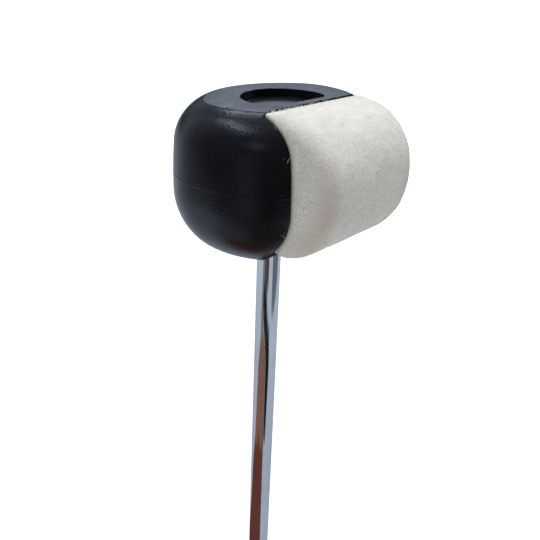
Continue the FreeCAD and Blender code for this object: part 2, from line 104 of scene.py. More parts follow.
class BeaterHeadSettings(bpy.types.PropertyGroup):
    """Sizes and colours of the moulded head and its plug."""
    plastic: colour("Plastic", "Black of the moulding", (0.0053, 0.0066, 0.0084))
    roughness: plain("Roughness", "How dull the moulding's gloss is", 0.28)
    plug_roughness: plain("Plug Roughness", "How dull the plug's gloss is", 0.3)
    foot_radius: length("Foot Radius", "Rounding from the widest ring to the underside", 20.8)
    top_flat_radius: length("Top Flat", "Radius of the crisp edge round the flat top", 24.1)
    shoulder_radius: length("Shoulder", "Rounding below the flat top", 13.1)
    side_radius: length("Side Bulge", "Slow bulge of the side above the widest ring", 170.0)
    corner_radius: length("Plastic Corner", "Plan rounding beside the plastic face", 21.5)
    rim_round: length("Rim Round", "Small rounding on the top's edge", 0.45)
    edge_round: length("Edge Round", "Small rounding round the slot and the sunk place", 0.3)
    felt_gap: length("Felt Gap", "Play between felt and slot sides", 0.2)
    relief_start: length("Relief Start", "Axis to where the underside starts to rise", 10.3)
    relief_angle: angle("Relief Angle", "Slope of that rise to the felt", 35.0)
    parting_depth: length("Parting Line", "Flat top to the parting line", 20.3)
    parting_groove: length("Parting Groove", "Depth of the parting line", 0.09)
    plug_play: length("Plug Play", "Play round the plug's plate", 0.15)
    plug_offset: length("Plug Offset", "Centre of the plug's round back, towards the felt", 4.2)
    plug_corner: length("Plug Corner", "Corners beside the plug's flat", 4.5)
    skirt_depth: length("Skirt Depth", "Ring below the plug's plate", 3.2)
    nut_pocket_radius: length("Nut Pocket", "Radius of the room for a socket wrench", 8.0)
    spigot_bore: length("Spigot Bore", "Radius of the bore round the spigot", 3.05)
    socket_bore: length("Socket", "Radius of the rod's seat in the underside", 3.85)
    socket_depth: length("Socket Depth", "Depth of the rod's seat", 10.2)
    socket_lead_in: length("Socket Lead-in", "Bevel at the mouth of the rod's seat", 0.8)


class BeaterFeltSettings(bpy.types.PropertyGroup):
    """Sizes and colours of the felt."""
    wool: colour("Wool", "Off-white of the felt", (0.775, 0.768, 0.735))
    soil: colour("Soil", "Brownish stain along the soft edges", (0.46, 0.365, 0.265))
    soil_cover: plain("Soil Cover", "How much of the wool that stain hides", 0.62)
    soil_width: length("Soil Width", "Half the width of that stain", 3.4)
    soil_waver: length("Soil Waver", "How far that stain wavers from the edge", 1.5)
    # Painted shade: the glue line is darkened to stand for the shadow in the seam as well as for
    # the glue.
    glue_line_and_shade: colour("Glue Stain", "Yellowish line beside the moulding", (0.3, 0.28, 0.17))
    glue_shade_cover: plain("Stain Cover", "How much of the wool that line hides", 0.7)
    glue_shade_reach: length("Stain Reach", "How far that line goes from the moulding", 0.25)
    top_radius: length("Top Radius", "Strike face into the top", 18.0)
    nose_flat: length("Nose Flat", "Straight stretch of the strike face", 2.8)
    foot_margin: length("Foot Margin", "Straight stretch of the foot beside the back", 1.0)
    seam_sink: length("Seam Sink", "How far the top drops at the seam", 0.45)
    edge_radius: length("Edge Radius", "Soft edge between strike face and sides", 4.4)
    foot_edge_radius: length("Foot Edge Radius", "That edge where the face turns under", 5.2)
    top_seam_radius: length("Top Seam Radius", "That edge at the top of the seam", 0.7)
    foot_seam_radius: length("Foot Seam Radius", "That edge at the foot of the seam", 8.6)
    edge_growth: length("Edge Growth", "Way from the seam to that edge's full radius", 7.0)
    unevenness: length("Unevenness", "Slow waves of the felt's skin", 0.12)
    nap: length("Nap", "Fine roughness of the felt's skin", 0.035)
    hold: length("Hold", "Way from the back on which that skin gets free", 3.0)
    side_bulge: length("Side Bulge", "Most that the sides stand out in the slot", 0.1)
    fibre_length: length("Fibre Length", "Mean length of a loose fibre", 0.7)
    fibre_density: plain("Fibre Density", "Pale fibres on a square metre", 1000000.0)
    fibre_radius: length("Fibre Radius", "Half the thickness of a pale fibre", 0.012)
    fibre_lift: plain("Fibre Lift", "Most that a pale fibre leans off the skin, radians", 0.35)
    fleck: colour("Fleck", "Dark fibres in the wool", (0.12, 0.09, 0.07))
    fleck_density: plain("Fleck Density", "Dark fibres on a square metre", 9000.0)
    fleck_radius: length("Fleck Radius", "Half the thickness of a dark fibre", 0.05)
    fleck_lift: plain("Fleck Lift", "Most that a dark fibre leans off the skin, radians", 0.1)
    seed: whole("Seed", "Pick of the places of fibres and crumbs", 7)


class BeaterSeamSettings(bpy.types.PropertyGroup):
    """Crumbs and hairs along the seam of felt and moulding."""
    setback: length("Setback", "Edge of a piece to its line of crumbs", 0.3)
    burr_count: whole("Burr Count", "Crumbs of plastic along the top seam", 260)
    burr_size: length("Burr Size", "Half the length of a crumb of plastic", 0.5)
    burr_spread: length("Burr Spread", "How far they stray from their line", 0.35)
    burr_rise: length("Burr Rise", "Height of their line above the flat top", 0.1)
    crumb_count: whole("Crumb Count", "Crumbs of wool along the top seam", 80)
    crumb_size: length("Crumb Size", "Half the length of a crumb of wool", 0.28)
    crumb_spread: length("Crumb Spread", "How far they stray from their line", 0.3)
    crumb_rise: length("Crumb Rise", "Height of their line above the flat top", 0.15)
    crumb_end: plain("Crumb End", "How far along the seam's second half they go", 0.3)
    hair_density: plain("Hair Density", "Glue hairs on a square metre", 300000.0)
    hair_length: length("Hair Length", "Mean length of a glue hair", 1.3)
    hair_radius: length("Hair Radius", "Half the thickness of a glue hair", 0.035)
    hair_lift: plain("Hair Lift", "Most that a glue hair leans off the skin, radians", 0.25)
    hair_strip: length("Hair Strip", "Width of the strip beside the felt that has hairs", 0.8)


class BeaterRodSettings(bpy.types.PropertyGroup):
    """Sizes and colours of the rod and of what clamps the head on it."""
    chrome: colour("Chrome", "Tint of the plating", (0.66, 0.67, 0.67))
    chrome_edge: colour("Chrome Edge", "Plating at a glancing angle", (0.8, 0.82, 0.84))
    zinc: colour("Zinc", "Tint of the nut and washers", (0.55, 0.55, 0.54))
    zinc_dull: colour("Dull Zinc", "That tint where it was handled", (0.42, 0.41, 0.37))
    glue: colour("Glue", "Set glue behind the felt", (0.62, 0.52, 0.3))
    foot_bevel: length("Foot Bevel", "Bevel at the rod's foot", 0.8)
    foot_round: length("Foot Round", "Small rounding on that bevel's edges", 0.15)
    seat_radius: length("Seat", "Radius of the turned stretch inside the head", 3.8)
    spigot_radius: length("Spigot", "Radius over the thread", 3.0)
    spigot_bevel: length("Spigot Bevel", "Bevel at the spigot's end", 0.6)
    thread_pitch: length("Thread Pitch", "Rise of the thread in one turn", 1.0)
    thread_depth: length("Thread Depth", "Depth of the thread", 0.5)


class BeaterStageSettings(bpy.types.PropertyGroup):
    """Camera, light and floor."""
    azimuth: angle("Azimuth", "Camera's place round the rod", 42.46)
    distance: length("Distance", "Camera to the rod's axis, level", 186.31)
    rise: length("Rise", "Camera above the head's top", 36.43)
    heading: angle("Heading", "Camera's heading", 42.29)
    pitch: angle("Pitch", "How far the camera looks down", 26.89)
    roll: angle("Roll", "Camera's roll", 2.22)
    lens: plain("Lens", "Focal length in millimetres", 41.226)
    key_power: plain("Key Light", "Power of the overhead light", 4.7, "POWER")
    key_size: length("Key Size", "Width of the overhead light", 500.0)
    sky_fill: plain("Sky Fill", "Strength of the light from all round", 0.48)
    gloss_tint: colour("Gloss Tint", "Light that shows in a gloss", (0.6, 0.69, 0.84))
    floor: colour("Floor", "Colour of the floor in the light it gives back", (0.8, 0.8, 0.8))
    floor_reach: length("Floor Reach", "Axis to the floor's edges", 8000.0)
    floor_lift: plain("Floor Lift", "Own light of the floor near the rod, as seen", 0.6)
    floor_gloss: plain("Floor Gloss", "Light of the floor near the rod in a gloss", 0.8)
    wall: colour("Wall", "Dark of the room behind the camera", (0.006, 0.007, 0.008))
    wall_distance: length("Wall Distance", "Axis to that dark", 420.0)
    wall_height: length("Wall Height", "Height of that dark", 800.0)
    wall_left: angle("Wall Left", "Left end of that dark, from the camera's side", -118.0)
    wall_right: angle("Wall Right", "Right end of that dark", 100.0)
    glow_start: angle("Glow Start", "Where that dark starts to get paler", -60.0)
    wall_glow: plain("Wall Glow", "How pale its left end is", 0.75)
    wall_gap: length("Wall Gap", "Gap under its paler part", 60.0)


SETTINGS = {
    "beater_head": BeaterHeadSettings,
    "beater_felt": BeaterFeltSettings,
    "beater_seam": BeaterSeamSettings,
    "beater_rod": BeaterRodSettings,
    "beater_stage": BeaterStageSettings,
}


# Lines and curves

EDGE_STEPS = 3


def ramp(value, first, last):
    """Share of the way from a first to a last value, kept between 0 and 1."""
    return min(max((value - first) / (last - first), 0.0), 1.0)


def steps_between(first, last, steps, with_last=True):
    """Evenly spaced values."""
    return [first + (last - first) * step / steps
            for step in range(steps + 1 if with_last else steps)]


def line_points(start, end, steps, with_last=False):
    """Evenly spaced points of a straight line."""
    return [start.lerp(end, share) for share in steps_between(0.0, 1.0, steps, with_last)]


def curve_between(start, corner, end, steps=EDGE_STEPS):
    """Points of a small rounding, drawn towards the corner between its ends."""
    return [start.lerp(corner, share).lerp(corner.lerp(end, share), share)
            for share in steps_between(0.0, 1.0, steps)]


def direction(turn):
    """Unit vector at an angle."""
    return Vector((math.cos(turn), math.sin(turn)))


def turn_to(start, end):
    """Angle of the way from one point to another."""
    return math.atan2(end.y - start.y, end.x - start.x)


def mirror(point):
    """The same point on the other side of the beater."""
    return Vector((point.x, -point.y, point.z))


def at_height(points, height):
    """Lift plan points to a height."""
    return [Vector((point.x, point.y, height)) for point in points]


class Arc(NamedTuple):
    """Part of a circle between two angles."""
    first: float
    last: float
    centre: Vector
    radius: float

    def point(self, turn, inset=0.0):
        """Point at an angle, drawn in by an inset."""
        return self.centre + direction(turn) * (self.radius - inset)

    def points(self, steps, with_last=False):
        """Evenly spaced points."""
        return [self.point(turn)
                for turn in steps_between(self.first, self.last, steps, with_last)]


# Meshes

SHARP_DEGREES = {"moulded_head": 34, "felt_pad": 60, "polished_rod": 40}


def link_object(name, data):
    """Put a mesh, a light or a camera in the scene under a name, at the origin."""
    thing = bpy.data.objects.new(name, data)
    bpy.context.scene.collection.objects.link(thing)
    return thing


def add_loop(bm, points):
    """Add a row of vertices."""
    return [bm.verts.new(point) for point in points]


def bridge(bm, rows, closed=False):
    """Join rows of as many vertices, each to the next, with four-sided faces."""
    for first, second in zip(rows, rows[1:]):
        for index in range(len(first) if closed else len(first) - 1):
            after = (index + 1) % len(first)
            bm.faces.new((first[index], first[after], second[after], second[index]))


def ring_edges(bm, verts):
    """Find or add the edges of a closed row of vertices."""
    pairs = zip(verts, verts[1:] + verts[:1])
    return [bm.edges.get(pair) or bm.edges.new(pair) for pair in pairs]


def fill_between(bm, outer, inner, normal):
    """Fill the flat between two closed rows of vertices."""
    edges = ring_edges(bm, outer) + ring_edges(bm, inner)
    bmesh.ops.triangle_fill(bm, use_beauty=True, edges=edges, normal=normal)


def close_seams(bm):
    """Merge vertices in the same place and drop what has no size."""
    bmesh.ops.remove_doubles(bm, verts=bm.verts, dist=MERGE)
    bmesh.ops.dissolve_degenerate(bm, edges=bm.edges, dist=MERGE)


def finish_mesh(bm, name):
    """Close seams, point faces outwards, shade all but sharp edges smooth, make the object."""
    close_seams(bm)
    bmesh.ops.recalc_face_normals(bm, faces=bm.faces)
    for face in bm.faces:
        face.smooth = True
    mesh = bpy.data.meshes.new(name)
    bm.to_mesh(mesh)
    bm.free()
    mesh.set_sharp_from_angle(angle=math.radians(SHARP_DEGREES[name]))
    return link_object(name, mesh)


def apply_modifiers(thing):
    """Turn an object's evaluated shape into its plain mesh."""
    graph = bpy.context.evaluated_depsgraph_get()
    mesh = bpy.data.meshes.new_from_object(thing.evaluated_get(graph), depsgraph=graph)
    mesh.name = thing.name
    thing.modifiers.clear()
    thing.data = mesh


def weigh_normals(thing):
    """Let the large faces rule the shading beside small roundings."""
    modifier = thing.modifiers.new("weigh", "WEIGHTED_NORMAL")
    modifier.keep_sharp = True
    apply_modifiers(thing)


# Form of the head

RIM_STEPS = 4
SHOULDER_STEPS = 16
SIDE_STEPS = 12
FOOT_STEPS = 24
BACK_COLUMNS = 112
WING_COLUMNS = 30
PLUG_BACK_STEPS = 72
PLUG_CORNER_STEPS = 10
PLUG_FLAT_STEPS = 12

# Rise and sink of the parting line's points, in depths of its groove
PARTING_PROFILE = ((3.0, 0.0), (1.2, 0.0), (0.3, 1.0), (-0.3, 1.0), (-1.0, -0.35),
                   (-2.4, -0.15), (-4.5, 0.0))


def head_outline(settings):
    """Plan of the head as arcs: the felt half, a corner, the plastic face and a corner."""
    head_radius, depth = HEAD_HIGH.y, -HEAD_LOW.x
    corner = settings.corner_radius
    offset = head_radius - corner
    face_radius = (depth ** 2 + offset ** 2 - corner ** 2) / (2 * (depth - corner))
    face_offset = face_radius - depth
    half = math.atan2(offset, face_offset)
    return [Arc(-QUARTER, QUARTER, Vector((0, 0)), head_radius),
            Arc(QUARTER, math.pi - half, Vector((0, offset)), corner),
            Arc(math.pi - half, math.pi + half, Vector((face_offset, 0)), face_radius),
            Arc(math.pi + half, 3 * QUARTER, Vector((0, -offset)), corner)]


def outline_point(arcs, turn, inset):
    """Point where the outline, drawn in by an inset, faces a plan angle."""
    turn = (turn + QUARTER) % FULL_TURN - QUARTER
    arc = next((arc for arc in arcs if arc.first <= turn <= arc.last + MERGE), arcs[0])
    return arc.point(turn, inset)


def circle_meeting(first, first_radius, second, second_radius):
    """The lower of the two points at given distances from two centres."""
    between = second - first
    apart = between.length
    along = (first_radius ** 2 - second_radius ** 2 + apart ** 2) / (2 * apart)
    across = math.sqrt(first_radius ** 2 - along ** 2)
    way = between / apart
    foot = first + way * along
    aside = Vector((-way.y, way.x)) * across
    return min(foot + aside, foot - aside, key=lambda point: point.y)


def head_section(settings):
    """Upright section of the skin from the flat top down: radius on the felt half and height."""
    foot_radius, side_radius = settings.foot_radius, settings.side_radius
    shoulder_radius, rim_round = settings.shoulder_radius, settings.rim_round
    widest = Vector((HEAD_HIGH.y, HEAD_LOW.z + foot_radius))
    rim = Vector((settings.top_flat_radius, HEAD_HIGH.z))
    side_centre = widest - Vector((side_radius, 0))
    centre = circle_meeting(side_centre, side_radius - shoulder_radius, rim, shoulder_radius)
    rim_turn = turn_to(centre, rim) - rim_round / shoulder_radius
    side_turn = turn_to(side_centre, centre)
    shoulder = Arc(rim_turn, side_turn, centre, shoulder_radius)
    side = Arc(side_turn, 0.0, side_centre, side_radius)
    foot = Arc(0.0, -QUARTER, widest - Vector((foot_radius, 0)), foot_radius)
    inside = Vector((rim_round, 0))
    points = [rim - 2 * inside]
    points += curve_between(rim - inside, rim, shoulder.point(rim_turn), RIM_STEPS)
    for arc, steps in ((shoulder, SHOULDER_STEPS), (side, SIDE_STEPS), (foot, FOOT_STEPS)):
        points += arc.points(steps, with_last=True)[1:]
    return add_parting_groove(settings, add_slot_rings(settings, points))


def slot_side(settings):
    """Middle plane to the side of the felt's slot."""
    return FELT_HIGH.y + settings.felt_gap


def add_slot_rings(settings, points):
    """Put a ring exactly where the slot's corners and its lowest point cross the skin."""
    wanted = [math.hypot(GLUE_LOW.x, slot_side(settings)), GLUE_LOW.x]
    dense = [points[0]]
    for before, after in zip(points, points[1:]):
        crossed = [(radius - before.x) / (after.x - before.x) for radius in wanted
                   if (radius - before.x) * (radius - after.x) < 0]
        dense += [before.lerp(after, share) for share in sorted(crossed)]
        dense.append(after)
    return dense


def add_parting_groove(settings, points):
    """Press a fine groove into the section at the parting line."""
    level = HEAD_HIGH.z - settings.parting_depth
    depth = settings.parting_groove
    place = next(index for index, point in enumerate(points) if point.y < level)
    before, after = points[place - 1], points[place]
    groove = []
    for rise, sink in PARTING_PROFILE:
        height = level + rise * depth
        point = before.lerp(after, (before.y - height) / (before.y - after.y))
        groove.append(point - Vector((sink * depth, 0)))
    return points[:place] + groove + points[place:]


def section_normal(points, index):
    """Outward direction of the section at one of its points."""
    along = points[min(index + 1, len(points) - 1)] - points[max(index - 1, 0)]
    return Vector((-along.y, along.x)).normalized()


def head_rings(settings):
    """Rings of the skin, each from the slot's left edge round the back to its right edge."""
    arcs = head_outline(settings)
    section = head_section(settings)
    side, back, edge = slot_side(settings), GLUE_LOW.x, settings.edge_round
    corner_radius = math.hypot(back, side)
    rings = []
    for index, (radius, height) in enumerate(section):
        on_side = radius > corner_radius + MERGE
        on_back = radius < corner_radius - MERGE
        cut = math.acos(min(back / radius, 1.0)) if on_back else math.asin(side / radius)
        corner = Vector((radius * math.cos(cut), radius * math.sin(cut), height))
        outward = section_normal(section, index)
        inward = Vector((-outward.x * math.cos(cut) if on_side else 0,
                         -outward.x * math.sin(cut) if on_back else 0,
                         -outward.y)).normalized()
        width = edge * ramp(radius, back, back + 4 * edge)
        start = cut + width / radius
        turns = steps_between(start, QUARTER, WING_COLUMNS, False)
        turns += steps_between(QUARTER, 3 * QUARTER, BACK_COLUMNS, False)
        turns += steps_between(3 * QUARTER, FULL_TURN - start, WING_COLUMNS)
        plan = [outline_point(arcs, turn, HEAD_HIGH.y - radius) for turn in turns]
        skin = at_height(plan, height)
        rounding = curve_between(corner + inward * width, corner, skin[0])[:-1]
        rings.append(rounding + skin + [mirror(point) for point in reversed(rounding)])
    return rings


def plug_outline(settings, outward=0.0):
    """Plan of the sunk place: a round back, two corners and a flat on the felt side."""
    corner = settings.plug_corner
    reach = PLUG_HIGH.x + settings.plug_play
    radius = PLUG_HIGH.y + settings.plug_play
    inset = reach - corner - settings.plug_offset
    rise = math.sqrt((radius - corner) ** 2 - inset ** 2)
    meet = math.atan2(rise, inset)
    left, right = (Vector((reach - corner, side * rise)) for side in (1, -1))
    back = Vector((settings.plug_offset, 0.0))
    points = Arc(0.0, meet, left, corner + outward).points(PLUG_CORNER_STEPS)
    points += Arc(meet, FULL_TURN - meet, back, radius + outward).points(PLUG_BACK_STEPS)
    points += Arc(FULL_TURN - meet, FULL_TURN, right, corner + outward).points(PLUG_CORNER_STEPS)
    ends = (Vector((reach + outward, side * rise)) for side in (-1, 1))
    return points + line_points(*ends, PLUG_FLAT_STEPS)


def close_slot(bm, settings, rings):
    """Wall the felt's slot in at its two sides and its back."""
    on_back = [index for index, ring in enumerate(rings)
               if abs(ring[0].co.x - GLUE_LOW.x) <= MERGE]
    beside = slot_side(settings) - 2 * settings.edge_round
    corners = [index for index in on_back if rings[index][0].co.y > beside]
    first, last = corners[0], corners[-1]
    for end in (0, -1):
        bm.faces.new([ring[end] for ring in rings[first:last + 1]])
    back = [rings[index] for index in on_back if index <= first or index >= last]
    bm.faces.new([ring[0] for ring in back] + [ring[-1] for ring in reversed(back)])


def sink_bores(bm, settings):
    """Sink the plug's place, the nut pocket and the stepped bore; give the first and last ring."""
    edge, top = settings.edge_round, HEAD_HIGH.z
    ledge = PLUG_LOW.z + settings.skirt_depth
    shoulder = HEAD_LOW.z + settings.socket_depth
    plan = plug_outline(settings)
    rings = [at_height(plug_outline(settings, point.x), point.y)
             for point in curve_between(Vector((edge, top)), Vector((0, top)),
                                        Vector((0, top - edge)))]
    rings.append(at_height(plan, ledge))
    for radius, height in ((settings.nut_pocket_radius, ledge),
                           (settings.nut_pocket_radius, WASHER_LOW.z),
                           (settings.spigot_bore, WASHER_LOW.z),
                           (settings.spigot_bore, shoulder),
                           (settings.socket_bore, shoulder),
                           (settings.socket_bore, HEAD_LOW.z + settings.socket_lead_in),
                           (settings.socket_bore + settings.socket_lead_in, HEAD_LOW.z)):
        rings.append(at_height([point.normalized() * radius for point in plan], height))
    loops = [add_loop(bm, ring) for ring in rings]
    bridge(bm, loops, closed=True)
    return loops[0], loops[-1]


def cut_relief(bm, settings):
    """Plane the underside off where it rises to the felt."""
    bmesh.ops.remove_doubles(bm, verts=bm.verts, dist=MERGE)
    bmesh.ops.recalc_face_normals(bm, faces=bm.faces)
    slope = Vector((math.sin(settings.relief_angle), 0, -math.cos(settings.relief_angle)))
    cut = bmesh.ops.bisect_plane(bm, geom=bm.verts[:] + bm.edges[:] + bm.faces[:], dist=MERGE,
                                 plane_co=(settings.relief_start, 0, HEAD_LOW.z),
                                 plane_no=slope, clear_outer=True)
    edges = [part for part in cut["geom_cut"]
             if isinstance(part, bmesh.types.BMEdge) and part.is_boundary]
    bmesh.ops.triangle_fill(bm, use_beauty=True, edges=edges, normal=slope)


def make_head_mesh(settings):
    """Barrel skin with the felt slot, the sunk place for the plug and the stepped bore."""
    bm = bmesh.new()
    rings = [add_loop(bm, ring) for ring in head_rings(settings)]
    bridge(bm, rings)
    top, bottom = rings[0], rings[-1]
    for column in range(EDGE_STEPS):
        bm.faces.new((top[column], top[column + 1], top[-2 - column], top[-1 - column]))
    close_slot(bm, settings, rings)
    mouth, foot = sink_bores(bm, settings)
    fill_between(bm, top[EDGE_STEPS:-EDGE_STEPS], mouth, (0, 0, 1))
    fill_between(bm, bottom[EDGE_STEPS:-EDGE_STEPS - 1], foot, (0, 0, -1))
    cut_relief(bm, settings)
    return finish_mesh(bm, "moulded_head")


# Form of the felt

FELT_TOP_STEPS = 26
FELT_TOP_ROUND_STEPS = 44
FELT_NOSE_STEPS = 6
FELT_FOOT_ROUND_STEPS = 48
FELT_FOOT_STEPS = 4
FELT_WIDTH_STEPS = 72
FELT_EDGE_STEPS = 12
FELT_CAP_STEPS = 26

# Shares of the felt's height from its top between which the soil comes and goes
SOIL_ONSET = (0.05, 0.43)
SOIL_ENDING = (0.75, 1.0)
SOIL_LOSS = 0.4
SOIL_WAVES = 140

# Scale, fineness, step between octaves and octaves of the skin's noise
SLOW_WAVES = (160, 0.9, 2.0, 3)
FINE_NAP = (1400, 0.8, 2.0, 2)

# How squarely a skin faces sideways to count as a side, or as near one
SIDE_FACING = 0.9
SIDE_LEANING = 0.6

# Skin this near to the barrel's skin, or to the felt's back, grows no fibres
COVERED = 0.2 * MM
BACK_SKIN = 0.3 * MM


def straight(start, end, outward, steps, with_last=False):
    """Points of a straight stretch, each with the way out of the felt."""
    return [(point, outward) for point in line_points(start, end, steps, with_last)]


def bend(arc, steps):
    """Points of a rounding, each with the way out of the felt."""
    return [(arc.point(turn), direction(turn))
            for turn in steps_between(arc.first, arc.last, steps, False)]


def felt_section(settings):
    """Side line of the felt from its top back corner round the nose to its lower back corner.

    Each entry is a point, the way out of the felt there and the radius of the edge beside it.
    """
    back, reach = FELT_LOW.x, FELT_HIGH.x
    top, foot = FELT_HIGH.z, FELT_LOW.z
    radius = settings.top_radius
    foot_radius = min(top - foot - settings.nose_flat - radius,
                      reach - back - settings.foot_margin)
    upper = Vector((reach - radius, top - radius))
    lower = Vector((reach - foot_radius, foot + foot_radius))
    up, out = Vector((0, 1)), Vector((1, 0))
    line = straight(Vector((back, top - settings.seam_sink)), Vector((upper.x, top)), up,
                    FELT_TOP_STEPS)
    line += bend(Arc(QUARTER, 0.0, upper, radius), FELT_TOP_ROUND_STEPS)
    line += straight(Vector((reach, upper.y)), Vector((reach, lower.y)), out, FELT_NOSE_STEPS)
    line += bend(Arc(0.0, -QUARTER, lower, foot_radius), FELT_FOOT_ROUND_STEPS)
    line += straight(Vector((lower.x, foot)), Vector((back, foot)), -up, FELT_FOOT_STEPS, True)
    return [(point, outward, edge_radius(settings, point, outward)) for point, outward in line]


def edge_radius(settings, point, outward):
    """Radius of the soft edge at a point of the side line, small at the seam's top."""
    share = min((point.x - FELT_LOW.x) / settings.edge_growth, 1.0)
    at_seam = settings.top_seam_radius if outward.y > 0 else settings.foot_seam_radius
    under = max(-outward.y, 0.0)
    full = settings.edge_radius + (settings.foot_edge_radius - settings.edge_radius) * under
    return at_seam + (full - at_seam) * share * share * (3 - 2 * share)


def felt_rows(settings):
    """Rows of the felt's skin from one side cap across the nose to the other.

    Each entry is a place and its way along the skin from the middle of the soft edge.
    """
    half_width = FELT_HIGH.y
    section = felt_section(settings)
    cap = [point - outward * radius for point, outward, radius in section]
    heights = steps_between(cap[0].y, cap[-1].y, len(cap) - 1)
    half = []
    for share in steps_between(0.0, 1.0, FELT_CAP_STEPS, False):
        row = []
        for height, point, (_, _, radius) in zip(heights, cap, section):
            place = Vector((FELT_LOW.x, height)).lerp(point, share)
            way = (point - place).length + radius * QUARTER / 2
            row.append((Vector((place.x, half_width, place.y)), way))
        half.append(row)
    for turn in steps_between(QUARTER, 0.0, FELT_EDGE_STEPS):
        row = []
        for point, outward, radius in section:
            place = point - outward * radius * (1 - math.cos(turn))
            across = half_width - radius * (1 - math.sin(turn))
            row.append((Vector((place.x, across, place.y)), radius * (turn - QUARTER / 2)))
        half.append(row)
    mirrored = [[(mirror(place), way) for place, way in row] for row in reversed(half)]
    between = []
    for share in steps_between(0.0, 1.0, FELT_WIDTH_STEPS)[1:-1]:
        row = []
        for (start, way), (end, _) in zip(half[-1], mirrored[0]):
            place = start.lerp(end, share)
            row.append((place, way - (start.y - abs(place.y))))
        between.append(row)
    return half + between + mirrored


def soil_share(settings, place, way):
    """How dirty the felt is at a place: a band along the soft edges, strongest below the nose."""
    depth = (FELT_HIGH.z - place.z) / (FELT_HIGH.z - FELT_LOW.z)
    waver = settings.soil_waver * noise.noise(place * SOIL_WAVES)
    band = math.exp(-((way + waver) / settings.soil_width) ** 2)
    return band * ramp(depth, *SOIL_ONSET) * (1 - SOIL_LOSS * ramp(depth, *SOIL_ENDING))


def skin_noise(place, scale, *kind):
    """Noise of the felt's skin at a place."""
    return noise.fractal(place * scale, *kind)


def make_felt_mesh(settings, head):
    """Felt block with a round nose, soft edges and a slightly uneven skin."""
    bm = bmesh.new()
    soil, seam_shade, open_skin = (bm.verts.layers.float.new(name)
                              for name in ("soil", "glue_line_and_shade", "open_skin"))
    rows = []
    for row in felt_rows(settings):
        rows.append(add_loop(bm, [place for place, _ in row]))
        for vert, (place, way) in zip(rows[-1], row):
            vert[soil] = soil_share(settings, place, way)
    bridge(bm, rows)
    close_seams(bm)
    bmesh.ops.edgeloop_fill(bm, edges=[edge for edge in bm.edges if edge.is_boundary])
    bmesh.ops.recalc_face_normals(bm, faces=bm.faces)
    bm.normal_update()
    moulding = head_section(head)
    for vert in bm.verts:
        place = vert.co.copy()
        facing = abs(vert.normal.y)
        beside = clearance_to_moulding(place, facing, moulding)
        hidden = facing > SIDE_FACING and beside < COVERED
        # Mask of the glue line, which also carries painted shade in the seam beside the moulding.
        vert[seam_shade] = math.exp(-max(beside, 0.0) / settings.glue_shade_reach)
        vert[open_skin] = 0.0 if hidden or place.x < FELT_LOW.x + BACK_SKIN else 1.0
        depth = (settings.unevenness * skin_noise(place, *SLOW_WAVES)
                 + settings.nap * skin_noise(place, *FINE_NAP))
        depth *= ramp(place.x, FELT_LOW.x, FELT_LOW.x + settings.hold)
        if facing > SIDE_FACING:
            depth = min(depth, settings.side_bulge)
        vert.co = place + vert.normal * depth
    return finish_mesh(bm, "felt_pad")


def clearance_to_moulding(place, facing, moulding):
    """How far a point of the felt lies outside the barrel on its sides, else before its back."""
    if facing < SIDE_LEANING:
        return place.x - FELT_LOW.x
    radius = moulding[0].x
    for upper, lower in zip(moulding, moulding[1:]):
        if lower.y <= place.z <= upper.y and upper.y > lower.y:
            radius = upper.lerp(lower, (upper.y - place.z) / (upper.y - lower.y)).x
            break
    return math.hypot(place.x, place.y) - radius


# Form of the rod

ROD_SEGMENTS = 96
ROD_STEPS = 40
THREAD_SEGMENTS = 48
THREAD_RINGS = 10


def rod_section(settings, shoulder):
    """Radius and height of the rod from its foot to the shoulder inside the head."""
    radius, bevel, soft = ROD_HIGH.x, settings.foot_bevel, settings.foot_round
    inner = radius - bevel
    section = [Vector((0.0, 0.0))]
    section += curve_between(Vector((inner - soft, 0.0)), Vector((inner, 0.0)),
                             Vector((inner + soft, soft)))
    section += curve_between(Vector((radius - soft, bevel - soft)), Vector((radius, bevel)),
                             Vector((radius, bevel + soft)))
    section += line_points(Vector((radius, bevel + soft)), Vector((radius, HEAD_LOW.z)),
                           ROD_STEPS, with_last=True)[1:]
    return section + [Vector((settings.seat_radius, HEAD_LOW.z)),
                      Vector((settings.seat_radius, shoulder))]


def make_rod_mesh(settings, head):
    """Rod turned from one bar: bevelled foot, seat inside the head and a threaded spigot."""
    shoulder = HEAD_LOW.z + head.socket_depth
    bm = bmesh.new()
    loops = []
    for reach, height in rod_section(settings, shoulder):
        circle = Arc(0.0, FULL_TURN, Vector((0, 0)), reach).points(ROD_SEGMENTS)
        loops.append(add_loop(bm, at_height(circle, height)))
    bridge(bm, loops, closed=True)
    thread = [add_loop(bm, ring) for ring in thread_rings(settings, shoulder)]
    bridge(bm, thread, closed=True)
    bm.faces.new(thread[-1])
    fill_between(bm, loops[-1], thread[0], (0, 0, 1))
    return finish_mesh(bm, "polished_rod")


def thread_rings(settings, start):
    """Rings of the spigot, each pressed in where the thread's groove passes."""
    pitch, bevel = settings.thread_pitch, settings.spigot_bevel
    steps = int((ROD_HIGH.z - start) / pitch * THREAD_RINGS)
    rings = []
    for height in steps_between(start, ROD_HIGH.z, steps):
        turns_up = (height - start) / pitch
        end_fade = min((ROD_HIGH.z - height) / bevel, 1.0)
        ring = []
        for turn in steps_between(0.0, FULL_TURN, THREAD_SEGMENTS, False):
            phase = (turns_up - turn / FULL_TURN) % 1.0
            groove = settings.thread_depth * (1 - abs(2 * phase - 1)) * min(turns_up, 1.0)
            radius = settings.spigot_radius - max(groove, bevel * (1 - end_fade))
            ring.append(Vector((radius * math.cos(turn), radius * math.sin(turn), height)))
        rings.append(ring)
    return rings


# Shader nodes

def put(tree, socket, value):
    """Link an output to a socket, or give the socket a value."""
    if isinstance(value, bpy.types.NodeSocket):
        tree.links.new(value, socket)
    else:
        socket.default_value = value


def add_node(tree, kind, inputs=None, **values):
    """Add a node, set its own values, and set or link its inputs."""
    made = tree.nodes.new(kind)
    for key, value in values.items():
        setattr(made, key, value)
    for key, value in (inputs or {}).items():
        put(tree, made.inputs[key], value)
    return made


